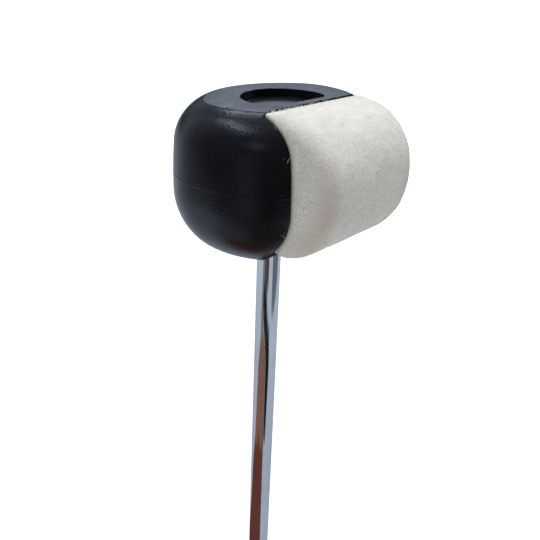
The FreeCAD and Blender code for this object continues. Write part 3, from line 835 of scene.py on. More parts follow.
def add_typed_node(tree, kind, inputs, output, **values):
    """Add a node whose sockets share names, and give one output; identifiers tell them apart."""
    made = add_node(tree, kind, **values)
    for socket in made.inputs:
        if socket.identifier in inputs:
            put(tree, socket, inputs[socket.identifier])
    return next(socket for socket in made.outputs if socket.identifier == output)


def math_node(tree, operation, *values):
    """Add a math node and give its output."""
    return add_node(tree, "ShaderNodeMath", dict(enumerate(values)),
                    operation=operation).outputs[0]


def vector_node(tree, operation, output, *values):
    """Add a vector math node and give its output."""
    return add_node(tree, "ShaderNodeVectorMath", dict(enumerate(values)),
                    operation=operation).outputs[output]


def combine(tree, *parts):
    """Make a vector of three numbers."""
    return add_node(tree, "ShaderNodeCombineXYZ", dict(enumerate(parts))).outputs[0]


def map_range(tree, value, to=(0.0, 1.0), span=(0.0, 1.0)):
    """Stretch a span of values to another and give the output."""
    return add_node(tree, "ShaderNodeMapRange", {
        "Value": value, "From Min": span[0], "From Max": span[1],
        "To Min": to[0], "To Max": to[1]}).outputs[0]


def mix_colour(tree, share, first, second, blend="MIX"):
    """Mix two colours and give the output."""
    return add_typed_node(tree, "ShaderNodeMix",
                          {"Factor_Float": share, "A_Color": first, "B_Color": second},
                          "Result_Color", data_type="RGBA", blend_type=blend)


def noise_texture(tree, place, scale, **inputs):
    """Add a noise and give its value."""
    return add_node(tree, "ShaderNodeTexNoise",
                    {"Vector": place, "Scale": scale, **inputs}).outputs[0]


def attribute(tree, name):
    """Give a value that the mesh carries."""
    return add_node(tree, "ShaderNodeAttribute", attribute_name=name).outputs["Fac"]


def upwardness(tree):
    """How far a surface faces up, from 1 for a level top to 0 for a wall."""
    normal = add_node(tree, "ShaderNodeNewGeometry").outputs["Normal"]
    return add_node(tree, "ShaderNodeSeparateXYZ", {0: normal}).outputs["Z"]


def rgba(rgb, share=1.0):
    """Spell a colour with its alpha, darkened by a share."""
    return (*(part * share for part in rgb), 1.0)


def feed(tree, shader, **inputs):
    """Set or link a shader's inputs by their names, with underscores for spaces."""
    for key, value in inputs.items():
        put(tree, shader.inputs[key.replace("_", " ")], value)


def new_material(name, **constants):
    """Start a material with one Principled shader; give it, its tree and the shader."""
    material = bpy.data.materials.new(name)
    material.use_nodes = True
    shader = material.node_tree.nodes["Principled BSDF"]
    feed(material.node_tree, shader, **constants)
    return material, material.node_tree, shader


def object_place(tree):
    """Give the object coordinates."""
    return add_node(tree, "ShaderNodeTexCoord").outputs["Object"]


def set_bump(tree, shader, height, distance, strength):
    """Drive a shader's normal by a height in metres."""
    bump = add_node(tree, "ShaderNodeBump",
                    {"Height": height, "Distance": distance, "Strength": strength})
    feed(tree, shader, Normal=bump.outputs[0])


# Shared effects

# Scale of the slow tone as a share of the grain's, and span of the noise that makes a smudge
SLOW_TONE = 0.09
SMUDGE_SPAN = (0.38, 0.68)


def new_group(name, inputs, outputs):
    """Start a shader node group with a place and plain numbers in, and plain numbers out."""
    group = bpy.data.node_groups.new(name, "ShaderNodeTree")
    add_socket = group.interface.new_socket
    add_socket("Place", in_out="INPUT", socket_type="NodeSocketVector")
    for label, value in inputs.items():
        add_socket(label, in_out="INPUT", socket_type="NodeSocketFloat").default_value = value
    for label in outputs:
        add_socket(label, in_out="OUTPUT", socket_type="NodeSocketFloat")
    given = add_node(group, "NodeGroupInput").outputs
    return group, given, add_node(group, "NodeGroupOutput").inputs


def make_grain_group(name):
    """Fine even grain of a moulded or plated skin."""
    group, given, result = new_group(name, {"Scale": 3000.0}, ["Height", "Tone"])
    place, scale = given["Place"], given["Scale"]
    slow = math_node(group, "MULTIPLY", scale, SLOW_TONE)
    put(group, result["Height"], noise_texture(group, place, scale, Detail=1.0, Roughness=0.5))
    put(group, result["Tone"], noise_texture(group, place, slow, Detail=4.0))
    return group


def make_dust_group(name):
    """Sparse pale specks of dust and lint."""
    defaults = {"Scale": 500.0, "Size": 0.12, "Share": 0.1}
    group, given, result = new_group(name, defaults, ["Mask"])
    cells = add_node(group, "ShaderNodeTexVoronoi",
                     {"Vector": given["Place"], "Scale": given["Scale"]}).outputs
    near = math_node(group, "LESS_THAN", cells["Distance"], given["Size"])
    pick = add_node(group, "ShaderNodeSeparateColor", {0: cells["Color"]}).outputs[0]
    chosen = math_node(group, "LESS_THAN", pick, given["Share"])
    put(group, result["Mask"], math_node(group, "MULTIPLY", near, chosen))
    return group


def make_smudge_group(name):
    """Slow uneven patches where a skin was handled."""
    group, given, result = new_group(name, {"Scale": 60.0}, ["Mask"])
    patches = noise_texture(group, given["Place"], given["Scale"], Detail=5.0, Roughness=0.62,
                            Distortion=0.8)
    put(group, result["Mask"], map_range(group, patches, span=SMUDGE_SPAN))
    return group


GROUPS = {"Fine Grain": make_grain_group, "Dust Specks": make_dust_group,
          "Handling Smudges": make_smudge_group}


def place_group(tree, name, place, **inputs):
    """Place a shared group in a material with its own values; it is built on first use."""
    group = bpy.data.node_groups.get(name) or GROUPS[name](name)
    return add_node(tree, "ShaderNodeGroup", {"Place": place, **inputs}, node_tree=group).outputs


# Finishes

DUST = (0.09, 0.095, 0.105)

# Span that most of a noise lies in, and spans of facing up that change a finish; the wool's is a
# painted highlight that flattens and lightens its level top
NOISE_SPAN = (0.3, 0.7)
PLASTIC_UPWARD = (0.93, 0.99)
WOOL_LIT_TOP = (0.5, 0.95)


def moulded_plastic(name, base, roughness):
    """Satin black moulding with a fine grain, handling smudges and dust."""
    material, tree, shader = new_material(name, IOR=1.49)
    place = object_place(tree)
    grain = place_group(tree, "Fine Grain", place, Scale=1300.0)
    smudge = place_group(tree, "Handling Smudges", place, Scale=70.0)["Mask"]
    dust = place_group(tree, "Dust Specks", place, Scale=800.0, Size=0.1, Share=0.05)["Mask"]
    tone = map_range(tree, grain["Tone"], (0.75, 1.3), NOISE_SPAN)
    body = mix_colour(tree, 1.0, rgba(base), tone, "MULTIPLY")
    rough = map_range(tree, smudge, (roughness - 0.04, roughness + 0.06))
    feed(tree, shader, Base_Color=mix_colour(tree, dust, body, rgba(DUST)),
         Roughness=math_node(tree, "MULTIPLY_ADD", dust, 0.4, rough))
    height = math_node(tree, "MULTIPLY_ADD", dust, 1.5, grain["Height"])
    strength = map_range(tree, upwardness(tree), (0.6, 0.04), PLASTIC_UPWARD)
    set_bump(tree, shader, height, distance=0.1 * MM, strength=strength)
    return material


def pressed_wool(settings):
    """Hard pressed felt: matted fibres, soil on the soft edges, a glue line and painted shade at
    the seam, a painted highlight on top.
    """
    material, tree, shader = new_material("pressed_wool", Roughness=0.95, Sheen_Weight=0.25,
                                          Sheen_Roughness=0.5, Specular_IOR_Level=0.2)
    place = object_place(tree)
    matted = add_node(tree, "ShaderNodeMapping",
                      {"Vector": place, "Scale": (1.1, 0.6, 1.3)}).outputs[0]
    fibres = noise_texture(tree, matted, 3000.0, Detail=2.0, Roughness=0.6, Distortion=0.6)
    clumps = noise_texture(tree, matted, 420.0, Detail=4.0, Roughness=0.6)
    patches = noise_texture(tree, place, 90.0, Detail=3.0)
    upward = upwardness(tree)
    # Painted highlight: on the level top the speckle is flattened and a little lighter on average,
    # as a brightly lit face looks.
    lit_top_speckle = [map_range(tree, upward, tones, WOOL_LIT_TOP)
                for tones in ((0.72, 0.88), (1.18, 1.07))]
    tone = math_node(tree, "MULTIPLY", map_range(tree, fibres, lit_top_speckle, NOISE_SPAN),
                     map_range(tree, clumps, (0.9, 1.06), NOISE_SPAN))
    tone = math_node(tree, "MULTIPLY", tone, map_range(tree, patches, (0.96, 1.03), NOISE_SPAN))
    wool = mix_colour(tree, 1.0, rgba(settings.wool), tone, "MULTIPLY")
    ragged = map_range(tree, clumps, (0.35, 1.0), (0.25, 0.75))
    soiled = math_node(tree, "MULTIPLY", attribute(tree, "soil"), ragged)
    soiled = math_node(tree, "MULTIPLY", soiled, settings.soil_cover)
    wool = mix_colour(tree, soiled, wool, rgba(settings.soil))
    # Painted shade: the dark glue line at the seam stands for the shadow there as well as for the
    # glue.
    seam_shaded = math_node(tree, "MULTIPLY", attribute(tree, "glue_line_and_shade"), settings.glue_shade_cover)
    feed(tree, shader, Base_Color=mix_colour(tree, seam_shaded, wool, rgba(settings.glue_line_and_shade)))
    height = math_node(tree, "MULTIPLY_ADD", fibres, 0.6, clumps)
    set_bump(tree, shader, height, distance=0.12 * MM, strength=0.7)
    return material


def loose_wool(name, base):
    """Loose fibres on the felt's skin."""
    material, tree, shader = new_material(name, Roughness=0.9, Sheen_Weight=0.2)
    streak = noise_texture(tree, object_place(tree), 700.0)
    tone = map_range(tree, streak, (0.8, 1.15), NOISE_SPAN)
    feed(tree, shader, Base_Color=mix_colour(tree, 1.0, rgba(base), tone, "MULTIPLY"))
    return material


def chrome_plating(settings):
    """Polished chrome with faint smudges and dust."""
    material, tree, shader = new_material("chrome_plating", Metallic=1.0,
                                          Specular_Tint=rgba(settings.chrome_edge))
    place = object_place(tree)
    smudge = place_group(tree, "Handling Smudges", place, Scale=110.0)["Mask"]
    grain = place_group(tree, "Fine Grain", place, Scale=1800.0)["Height"]
    dust = place_group(tree, "Dust Specks", place, Scale=600.0, Size=0.1, Share=0.03)["Mask"]
    tint = mix_colour(tree, smudge, rgba(settings.chrome), rgba(settings.chrome, 0.93))
    rough = map_range(tree, smudge, (0.07, 0.13))
    feed(tree, shader, Base_Color=mix_colour(tree, dust, tint, rgba(settings.chrome, 0.6)),
         Roughness=math_node(tree, "MULTIPLY_ADD", dust, 0.3, rough))
    set_bump(tree, shader, grain, distance=0.002 * MM, strength=0.25)
    return material


def smudged_skin(name, clean, dull, gloss, patches, grain, relief, **constants):
    """Skin with a fine grain that is duller in the patches where it was handled."""
    material, tree, shader = new_material(name, **constants)
    place = object_place(tree)
    smudge = place_group(tree, "Handling Smudges", place, Scale=patches)["Mask"]
    height = place_group(tree, "Fine Grain", place, Scale=grain)["Height"]
    feed(tree, shader, Base_Color=mix_colour(tree, smudge, clean, dull),
         Roughness=map_range(tree, smudge, gloss))
    set_bump(tree, shader, height, *relief)
    return material


def zinc_plating(settings):
    """Dull zinc on the nut and washers."""
    return smudged_skin("zinc_plating", rgba(settings.zinc), rgba(settings.zinc_dull),
                        gloss=(0.26, 0.46), patches=300.0, grain=4000.0,
                        relief=(0.01 * MM, 0.5), Metallic=1.0)


def set_glue(settings):
    """Amber glue, uneven and a little cloudy."""
    return smudged_skin("set_glue", rgba(settings.glue), rgba(settings.glue, 0.7),
                        gloss=(0.25, 0.5), patches=220.0, grain=900.0,
                        relief=(0.05 * MM, 0.6), IOR=1.5)


def dress_node(name, material):
    """Give a CAD node that shows its finish."""
    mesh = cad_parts[name].data
    mesh.materials.clear()
    mesh.materials.append(material)


# Geometry nodes

FIBRE_STEPS = 4
FIBRE_SIDES = 3
FIBRE_BEND = 0.35
FIBRE_STRETCH = (0.5, 1.6)
SMALLEST_SHRED = (0.25, 0.35, 0.12)
LARGEST_SHRED = (1.2, 1.0, 0.5)


def new_scatter_tree(name, **inputs):
    """Start a geometry tree with a mesh in, a mesh out and named inputs of given kinds."""
    tree = bpy.data.node_groups.new(name, "GeometryNodeTree")
    add_socket = tree.interface.new_socket
    for label, kind in {"Geometry": "Geometry", **inputs}.items():
        add_socket(label, in_out="INPUT", socket_type="NodeSocket" + kind)
    add_socket("Geometry", in_out="OUTPUT", socket_type="NodeSocketGeometry")
    given = add_node(tree, "NodeGroupInput").outputs
    return tree, given, add_node(tree, "NodeGroupOutput").inputs


def end_tree(tree, given, result, **inputs):
    """Put instances on points, make one mesh with a material of them, and hand it out."""
    placed = add_node(tree, "GeometryNodeInstanceOnPoints", inputs)
    realized = add_node(tree, "GeometryNodeRealizeInstances", {"Geometry": placed.outputs[0]})
    finished = add_node(tree, "GeometryNodeSetMaterial",
                        {"Geometry": realized.outputs[0], "Material": given["Material"]})
    put(tree, result["Geometry"], finished.outputs[0])


def random_value(tree, low, high, seed, kind="FLOAT_VECTOR"):
    """Add a random value and give its output."""
    suffix = {"FLOAT": "_001", "FLOAT_VECTOR": ""}[kind]
    return add_typed_node(tree, "FunctionNodeRandomValue",
                          {"Min" + suffix: low, "Max" + suffix: high, "Seed": seed},
                          "Value" + suffix, data_type=kind)


def random_vector(tree, reach, last, seed):
    """Random vector: two parts within a reach either way, the third from 0 to a last value."""
    back = math_node(tree, "MULTIPLY", reach, -1.0)
    return random_value(tree, combine(tree, back, back, 0.0), combine(tree, reach, reach, last),
                        seed)


def make_fibre_tree():
    """Short bent fibres that lie on a skin, more where its open_skin attribute is high."""
    tree, given, result = new_scatter_tree(
        "Loose Fibres", Density="Float", Length="Float", Radius="Float", Lift="Float",
        Seed="Int", Material="Material")
    seed = given["Seed"]
    open_skin = add_node(tree, "GeometryNodeInputNamedAttribute", {"Name": "open_skin"},
                         data_type="FLOAT").outputs["Attribute"]
    density = math_node(tree, "MULTIPLY", open_skin, given["Density"])
    spread = add_node(tree, "GeometryNodeDistributePointsOnFaces",
                      {"Mesh": given["Geometry"], "Density": density, "Seed": seed}).outputs
    curve = add_node(tree, "GeometryNodeCurveQuadraticBezier",
                     {"Resolution": FIBRE_STEPS, "Start": (-0.5, 0.0, 0.0),
                      "Middle": (0.0, FIBRE_BEND, 0.0), "End": (0.5, 0.0, 0.0)}).outputs[0]
    thickness = math_node(tree, "DIVIDE", given["Radius"], given["Length"])
    profile = add_node(tree, "GeometryNodeCurvePrimitiveCircle",
                       {"Resolution": FIBRE_SIDES, "Radius": thickness}).outputs[0]
    fibre = add_node(tree, "GeometryNodeCurveToMesh",
                     {"Curve": curve, "Profile Curve": profile, "Fill Caps": True}).outputs[0]
    lean = random_vector(tree, given["Lift"], FULL_TURN, seed)
    turned = add_node(tree, "FunctionNodeRotateRotation",
                      {"Rotation": spread["Rotation"], "Rotate By": lean},
                      rotation_space="LOCAL").outputs[0]
    stretch = random_value(tree, *FIBRE_STRETCH, seed, kind="FLOAT")
    end_tree(tree, given, result, Points=spread["Points"], Instance=fibre, Rotation=turned,
             Scale=math_node(tree, "MULTIPLY", stretch, given["Length"]))
    return tree


def make_burr_tree():
    """Small torn shreds along a line."""
    tree, given, result = new_scatter_tree("Torn Shreds", Count="Int", Size="Float",
                                           Spread="Float", Seed="Int", Material="Material")
    seed = given["Seed"]
    line = add_node(tree, "GeometryNodeMeshToCurve", {"Mesh": given["Geometry"]}).outputs[0]
    points = add_node(tree, "GeometryNodeCurveToPoints",
                      {"Curve": line, "Count": given["Count"]}, mode="COUNT").outputs[0]
    offset = random_vector(tree, given["Spread"], 0.0, seed)
    moved = add_node(tree, "GeometryNodeSetPosition",
                     {"Geometry": points, "Offset": offset}).outputs[0]
    shred = add_node(tree, "GeometryNodeMeshIcoSphere",
                     {"Radius": 1.0, "Subdivisions": 1}).outputs[0]
    sizes = [vector_node(tree, "MULTIPLY", "Vector", shape, given["Size"])
             for shape in (SMALLEST_SHRED, LARGEST_SHRED)]
    end_tree(tree, given, result, Points=moved, Instance=shred,
             Rotation=random_value(tree, (0.0,) * 3, (FULL_TURN,) * 3, seed),
             Scale=random_value(tree, *sizes, seed))
    return tree


def grow(name, mesh, tree, inputs):
    """Run a geometry tree on a copy of a mesh and keep the result as a plain mesh."""
    thing = link_object(name, mesh.copy())
    modifier = thing.modifiers.new("grow", "NODES")
    modifier.node_group = tree
    for item in tree.interface.items_tree:
        if item.in_out == "INPUT" and item.name in inputs:
            modifier[item.identifier] = inputs[item.name]
    thing.update_tag()
    bpy.context.view_layer.update()
    apply_modifiers(thing)
    return thing


def seam_strip(head, width):
    """Narrow strips of the moulding's skin beside both side seams of the felt."""
    corners, faces = [], []
    rings = [ring for ring in head_rings(head) if ring[0].x > GLUE_HIGH.x]
    for side in (1, -1):
        start = len(corners)
        for ring in rings:
            edge, inner = ring[EDGE_STEPS], ring[EDGE_STEPS + 1]
            away = edge + (inner - edge).normalized() * width
            corners += [place if side > 0 else mirror(place) for place in (edge, away)]
        for index in range(start, len(corners) - 2, 2):
            face = (index, index + 1, index + 3, index + 2)
            faces.append(face if side > 0 else face[::-1])
    strip = bpy.data.meshes.new("seam_strip")
    strip.from_pydata(corners, [], faces)
    skin = strip.attributes.new("open_skin", "FLOAT", "POINT")
    skin.data.foreach_set("value", [1.0] * len(corners))
    return strip


def line_mesh(points):
    """A bare line through points."""
    mesh = bpy.data.meshes.new("seam_line")
    mesh.from_pydata(points, [(index, index + 1) for index in range(len(points) - 1)], [])
    return mesh


# Operators

class BEATER_OT_moulded_head(bpy.types.Operator):
    """Make the black head with its parting line, slot and bores"""
    bl_idname = "beater.moulded_head"
    bl_label = "Moulded Head"

    def execute(self, context):
        settings = context.scene.beater_head
        head = make_head_mesh(settings)
        weigh_normals(head)
        plastic = moulded_plastic("moulded_black", settings.plastic, settings.roughness)
        head.data.materials.append(plastic)
        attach(head, "head")
        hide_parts("head_body")
        return {"FINISHED"}


class BEATER_OT_felt_pad(bpy.types.Operator):
    """Make the pressed felt with its round nose"""
    bl_idname = "beater.felt_pad"
    bl_label = "Felt Pad"

    def execute(self, context):
        settings = context.scene.beater_felt
        felt = make_felt_mesh(settings, context.scene.beater_head)
        felt.data.materials.append(pressed_wool(settings))
        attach(felt, "head")
        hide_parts("felt_block")
        return {"FINISHED"}


class BEATER_OT_loose_fibres(bpy.types.Operator):
    """Grow pale fibres and a few dark ones on the felt"""
    bl_idname = "beater.loose_fibres"
    bl_label = "Loose Fibres"

    def execute(self, context):
        settings = context.scene.beater_felt
        skin = bpy.data.objects["felt_pad"].data
        tree = make_fibre_tree()
        kinds = (("pale_fibres", settings.wool, settings.fibre_density, settings.fibre_radius,
                  settings.fibre_lift),
                 ("dark_fibres", settings.fleck, settings.fleck_density, settings.fleck_radius,
                  settings.fleck_lift))
        for step, (name, base, density, radius, lift) in enumerate(kinds):
            fibres = grow(name, skin, tree, {
                "Density": density, "Length": settings.fibre_length, "Radius": radius,
                "Lift": lift, "Seed": settings.seed + step, "Material": loose_wool(name, base)})
            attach(fibres, "head")
        return {"FINISHED"}


class BEATER_OT_seam_burr(bpy.types.Operator):
    """Leave torn crumbs of plastic and wool along the top seam and glue hairs on the side seams"""
    bl_idname = "beater.seam_burr"
    bl_label = "Seam Burr"

    def execute(self, context):
        head, seam = context.scene.beater_head, context.scene.beater_seam
        seed = context.scene.beater_felt.seed
        wool = bpy.data.materials["pale_fibres"]
        half = math.sqrt(head.top_flat_radius ** 2 - GLUE_LOW.x ** 2)
        tree = make_burr_tree()
        kinds = (("seam_burr", "black_moulding", GLUE_LOW.x, half, seam.burr_rise,
                  {"Count": seam.burr_count, "Size": seam.burr_size, "Spread": seam.burr_spread,
                   "Material": bpy.data.materials["moulded_black"]}),
                 ("wool_crumbs", "felt", FELT_LOW.x, seam.crumb_end * half, seam.crumb_rise,
                  {"Count": seam.crumb_count, "Size": seam.crumb_size,
                   "Spread": seam.crumb_spread, "Material": wool}))
        for name, slot, edge, end, rise, inputs in kinds:
            depth, height = edge - seam.setback, HEAD_HIGH.z + rise
            line = line_mesh([(depth, -half, height), (depth, end, height)])
            crumbs = grow(name, line, tree, {"Seed": seed, **inputs})
            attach(crumbs, "head")
        strip = seam_strip(head, seam.hair_strip)
        hairs = grow("glue_hairs", strip, bpy.data.node_groups["Loose Fibres"], {
            "Density": seam.hair_density, "Length": seam.hair_length,
            "Radius": seam.hair_radius, "Lift": seam.hair_lift, "Seed": seed, "Material": wool})
        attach(hairs, "head")
        return {"FINISHED"}


class BEATER_OT_polished_rod(bpy.types.Operator):
    """Turn the chromed rod with its threaded spigot"""
    bl_idname = "beater.polished_rod"
    bl_label = "Polished Rod"

    def execute(self, context):
        settings = context.scene.beater_rod
        rod = make_rod_mesh(settings, context.scene.beater_head)
        rod.data.materials.append(chrome_plating(settings))
        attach(rod, "rod")
        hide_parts("shaft")
        return {"FINISHED"}


class BEATER_OT_clamp_hardware(bpy.types.Operator):
    """Finish the nut, the washers, the glue film and the plug"""
    bl_idname = "beater.clamp_hardware"
    bl_label = "Clamp Hardware"

    def execute(self, context):
        settings, head = context.scene.beater_rod, context.scene.beater_head
        zinc = zinc_plating(settings)
        for name in ("retaining_nut", "flat_washer", "lock_washer"):
            dress_node(name, zinc)
        dress_node("felt_adhesive", set_glue(settings))
        dress_node("top_plug", moulded_plastic("plug_black", head.plastic, head.plug_roughness))
        return {"FINISHED"}


class BEATER_OT_stage(bpy.types.Operator):
    """Set up the floor, the light and the camera"""
    bl_idname = "beater.stage"
    bl_label = "Stage"

    def execute(self, context):
        settings = context.scene.beater_stage
        make_floor(settings)
        make_sky(settings)
        make_key_light(settings)
        make_cards(settings)
        make_camera(settings)
        context.scene.view_settings.view_transform = "Standard"
        return {"FINISHED"}


# Stage

# Metres from the rod's foot between which the floor gets its full light, as seen and in a gloss
FLOOR_FADE = (0.2, 1.5)
FLOOR_SHEEN = (0.1, 0.4)

KEY_PLACE = (-0.02, 0.04, 1.0)
CLIP_START = 0.01
WALL_COLUMNS = 40

# Level cards: name, light, and corners by metres towards the camera and to its right
FLOOR_CARD_HEIGHT = 0.002
FLOOR_CARDS = (
    ("brown_card", (0.155, 0.052, 0.04),
     ((-0.04, -0.03), (0.02, 0.0), (0.045, 0.015), (0.116, 0.026), (0.096, -0.08),
      (0.0125, -0.119), (-0.02, -0.1))),
    ("middle_brown_card", (0.26, 0.14, 0.105),
     ((0.116, 0.026), (0.2, 0.025), (0.225, -0.04), (0.215, -0.13), (0.13, -0.19),
      (0.065, -0.19), (0.0125, -0.119), (0.096, -0.08))),
    ("dark_card", (0.012, 0.012, 0.014),
     ((0.15, 0.13), (0.1, 0.055), (0.117, 0.027), (0.2, 0.027), (0.228, -0.04),
      (0.22, -0.2), (0.3, -0.17), (0.3, -0.03), (0.22, 0.12))),
    ("far_brown_card", (0.11, 0.075, 0.066),
     ((0.305, -0.03), (0.3, -0.17), (0.32, -0.28), (0.42, -0.3), (0.42, 0.05),
      (0.32, 0.04))),
    ("dusk_card", (0.2, 0.235, 0.29),
     ((0.218, -0.132), (0.13, -0.192), (0.16, -0.23), (0.3, -0.34), (0.318, -0.28),
      (0.298, -0.172), (0.218, -0.202))),
    ("grey_card", (0.16, 0.185, 0.22),
     ((0.2, 0.19), (0.07, 0.27), (-0.06, 0.33), (-0.08, 0.42), (0.06, 0.45), (0.34, 0.3))),
)
FLAG_HEIGHT = 0.17
FLAG_CARDS = (
    ("dark_flag", (0.07, 0.066, 0.068),
     ((0.0405, -0.013), (0.042, 0.012), (0.09, 0.02), (0.095, -0.02), (0.066, -0.024))),
    ("grey_flag", (0.27, 0.31, 0.38),
     ((0.0402, -0.0135), (0.066, -0.0245), (0.072, -0.036), (0.05, -0.05), (0.028, -0.04),
      (0.03, -0.0305))),
)

# The same overhead, each a millimetre below the one before, with a strength for the light
LAMP_HEIGHT = 0.95
LAMP_CARDS = (
    ("ceiling", 0.2, ((-0.6, -0.6), (0.6, -0.6), (0.6, 0.6), (-0.6, 0.6))),
    ("front_lamp", 8.6, ((-0.15, -0.41), (-0.11, -0.5), (0.34, -0.32), (0.29, -0.25))),
    ("back_lamp", 16.0, ((-0.37, -0.3), (-0.37, 0.0), (-0.44, 0.02), (-0.47, -0.33))),
)

# Upright cards: name, strength, first and last degree from the camera's side, distance, foot, top
ROUND_CARDS = (
    ("back_foot", 0.08, -125, -235, 0.6, 0.2, 0.345),
    ("back_wall", 0.4, -125, -235, 0.6, 0.345, 1.05),
    ("back_glow", 2.7, -170, -206, 0.58, 0.371, 0.43),
    ("front_glint", 2.0, -24, -12, 0.41, 0.42, 0.52),
    ("side_strip", 0.3, -33, -15, 0.41, 0.0, 0.3),
    ("side_haze", 0.09, -62, -33, 0.415, 0.0, 0.75),
)


def ray_kinds(tree):
    """Masks of the rays that see the stage itself and of those that see it in a gloss."""
    path = add_node(tree, "ShaderNodeLightPath").outputs
    seen = math_node(tree, "MAXIMUM", path["Is Camera Ray"], path["Is Transmission Ray"])
    return seen, path["Is Glossy Ray"]


def stage_piece(name, corners, faces=None):
    """A piece of the studio, one face unless it is given more."""
    mesh = bpy.data.meshes.new(name)
    mesh.from_pydata(corners, [], faces or [range(len(corners))])
    card = link_object(name, mesh)
    return card


def make_floor(settings):
    """Pale floor that takes the shadow and fades into the white background."""
    reach = settings.floor_reach
    floor = stage_piece("floor", [(-reach, -reach, 0), (reach, -reach, 0), (reach, reach, 0),
                                  (-reach, reach, 0)])
    material, tree, shader = new_material("floor_white", Roughness=1.0, Specular_IOR_Level=0.0)
    seen, gloss = ray_kinds(tree)
    away = vector_node(tree, "LENGTH", "Value", object_place(tree))
    lift = map_range(tree, away, (settings.floor_lift, 1.0), FLOOR_FADE)
    sheen = map_range(tree, away, (settings.floor_gloss, 1.0), FLOOR_SHEEN)
    strength = math_node(tree, "MULTIPLY_ADD", gloss, sheen,
                         math_node(tree, "MULTIPLY", seen, lift))
    feed(tree, shader, Emission_Strength=strength,
         Base_Color=mix_colour(tree, gloss, rgba(settings.floor), rgba(BLACK)),
         Emission_Color=mix_colour(tree, gloss, rgba(WHITE), rgba(settings.gloss_tint)))
    floor.data.materials.append(material)


def make_sky(settings):
    """White background, with less light in it for the object."""
    world = bpy.data.worlds.new("studio")
    world.use_nodes = True
    tree = world.node_tree
    seen, gloss = ray_kinds(tree)
    fill = mix_colour(tree, gloss, rgba(WHITE, settings.sky_fill), rgba(settings.gloss_tint))
    feed(tree, tree.nodes["Background"], Color=mix_colour(tree, seen, fill, rgba(WHITE)))
    bpy.context.scene.world = world


def make_key_light(settings):
    """Large soft light overhead, aimed at the head's top, that no gloss shows."""
    light = bpy.data.lights.new("key_light", "AREA")
    light.shape = "DISK"
    light.size = settings.key_size
    light.energy = settings.key_power
    lamp = link_object("key_light", light)
    lamp.location = KEY_PLACE
    way = Vector((0, 0, HEAD_HIGH.z)) - lamp.location
    lamp.rotation_euler = way.to_track_quat("-Z", "Y").to_euler()
    lamp.visible_glossy = False


def floor_place(settings, towards, right, height):
    """Place by its distance towards the camera, to the camera's right and above the floor."""
    turn = settings.azimuth
    return (Vector((math.sin(turn), -math.cos(turn), 0)) * towards
            + Vector((math.cos(turn), math.sin(turn), 0)) * right + Vector((0, 0, height)))


def make_cards(settings):
    """Cards and a dark wall that only the gloss sees."""
    for height, cards in ((FLOOR_CARD_HEIGHT, FLOOR_CARDS), (FLAG_HEIGHT, FLAG_CARDS)):
        for name, tint, places in cards:
            dress_card(level_card(settings, name, places, height), tint)
    for step, (name, strength, places) in enumerate(LAMP_CARDS):
        card = level_card(settings, name, places, LAMP_HEIGHT - step * MM)
        dress_card(card, [strength * part for part in settings.gloss_tint])
    for name, strength, first, last, *sizes in ROUND_CARDS:
        card = round_card(settings, name, math.radians(first), math.radians(last), *sizes)
        dress_card(card, [strength * part for part in settings.gloss_tint])
    make_wall(settings)


def level_card(settings, name, places, height):
    """Level card between places, at a height."""
    return stage_piece(name, [floor_place(settings, *place, height) for place in places])


def round_card(settings, name, first, last, reach, low, high):
    """Upright card bent round the rod, between two angles from the camera's side."""
    corners = [floor_place(settings, reach * math.cos(turn), reach * math.sin(turn), height)
               for height in (low, high) for turn in steps_between(first, last, WALL_COLUMNS)]
    faces = [(index, index + 1, WALL_COLUMNS + 2 + index, WALL_COLUMNS + 1 + index)
             for index in range(WALL_COLUMNS)]
    return stage_piece(name, corners, faces)


def make_wall(settings):
    """Dark of the room behind the camera, paler towards its left end."""
    middle = settings.glow_start
    for name, first, last, foot in (("dark_wall", middle, settings.wall_right, 0.0),
                                    ("pale_wall", settings.wall_left, middle, settings.wall_gap)):
        wall = round_card(settings, name, first, last, settings.wall_distance, foot,
                          settings.wall_height)
        add_glow(settings, *dress_card(wall, settings.wall))


def add_glow(settings, tree, shader):
    """Let a wall get paler towards its left end."""
    place = object_place(tree)
    ahead, across = (
        vector_node(tree, "DOT_PRODUCT", "Value", place, floor_place(settings, *way, 0.0))
        for way in ((1.0, 0.0), (0.0, 1.0)))
    glow = map_range(tree, math_node(tree, "ARCTAN2", across, ahead), (0.0, settings.wall_glow),
                     (settings.glow_start, settings.wall_left))
    tint = mix_colour(tree, glow, rgba(settings.wall), rgba(settings.gloss_tint))
    feed(tree, shader, Emission_Color=tint)


def dress_card(card, tint):
    """Give a card its light and hide it from all but the gloss."""
    material, tree, shader = new_material(
        card.name, Base_Color=rgba(BLACK), Specular_IOR_Level=0.0, Emission_Color=rgba(tint),
        Emission_Strength=1.0)
    card.data.materials.append(material)
    card.visible_camera = False
    card.visible_diffuse = False
    card.visible_shadow = False
    card.visible_transmission = False
    return tree, shader


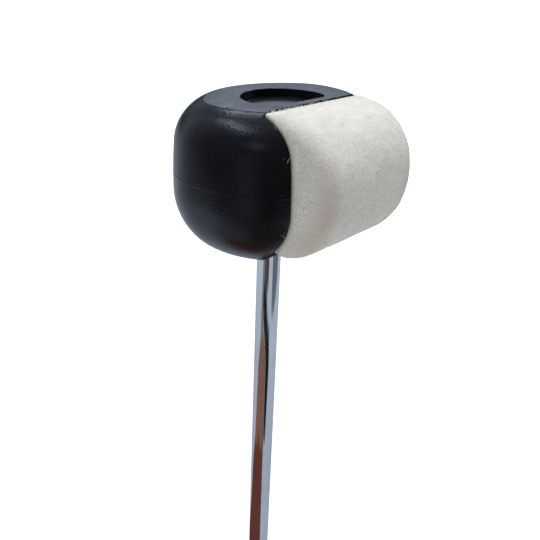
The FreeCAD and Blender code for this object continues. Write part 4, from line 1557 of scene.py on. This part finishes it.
def make_camera(settings):
    """Camera at the photograph's place."""
    lens = bpy.data.cameras.new("camera")
    lens.lens = settings.lens
    lens.clip_start = CLIP_START
    place = floor_place(settings, settings.distance, 0.0, HEAD_HIGH.z + settings.rise)
    turned = Matrix.Rotation(settings.heading, 4, "Z")
    turned @= Matrix.Rotation(QUARTER - settings.pitch, 4, "X")
    turned @= Matrix.Rotation(settings.roll, 4, "Z")
    camera = link_object("camera", lens)
    camera.matrix_world = Matrix.Translation(place) @ turned
    bpy.context.scene.camera = camera


OPERATORS = (BEATER_OT_moulded_head, BEATER_OT_felt_pad, BEATER_OT_loose_fibres,
             BEATER_OT_seam_burr, BEATER_OT_polished_rod, BEATER_OT_clamp_hardware,
             BEATER_OT_stage)


class BEATER_PT_sidebar(bpy.types.Panel):
    """List what the beater is made of"""
    bl_idname = "BEATER_PT_sidebar"
    bl_label = "Bass Drum Beater"
    bl_space_type = "VIEW_3D"
    bl_region_type = "UI"
    bl_category = "Beater"

    def draw(self, context):
        for operator in OPERATORS:
            self.layout.operator(operator.bl_idname)
        for name, group in SETTINGS.items():
            box = self.layout.box()
            box.label(text=group.__doc__)
            for key in group.__annotations__:
                box.prop(getattr(context.scene, name), key)


CLASSES = (*SETTINGS.values(), *OPERATORS, BEATER_PT_sidebar)


def register():
    """Make the settings, operators and panel known."""
    for known in CLASSES:
        bpy.utils.register_class(known)
    for name, group in SETTINGS.items():
        setattr(bpy.types.Scene, name, PointerProperty(type=group))


def unregister():
    """Take the settings, operators and panel away again."""
    for name in SETTINGS:
        delattr(bpy.types.Scene, name)
    for known in reversed(CLASSES):
        bpy.utils.unregister_class(known)


def main():
    """Dress the beater piece by piece."""
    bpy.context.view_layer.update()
    register()
    bpy.ops.beater.moulded_head()
    bpy.ops.beater.felt_pad()
    bpy.ops.beater.loose_fibres()
    bpy.ops.beater.seam_burr()
    bpy.ops.beater.polished_rod()
    bpy.ops.beater.clamp_hardware()
    bpy.ops.beater.stage()


if __name__ == "__main__":
    main()
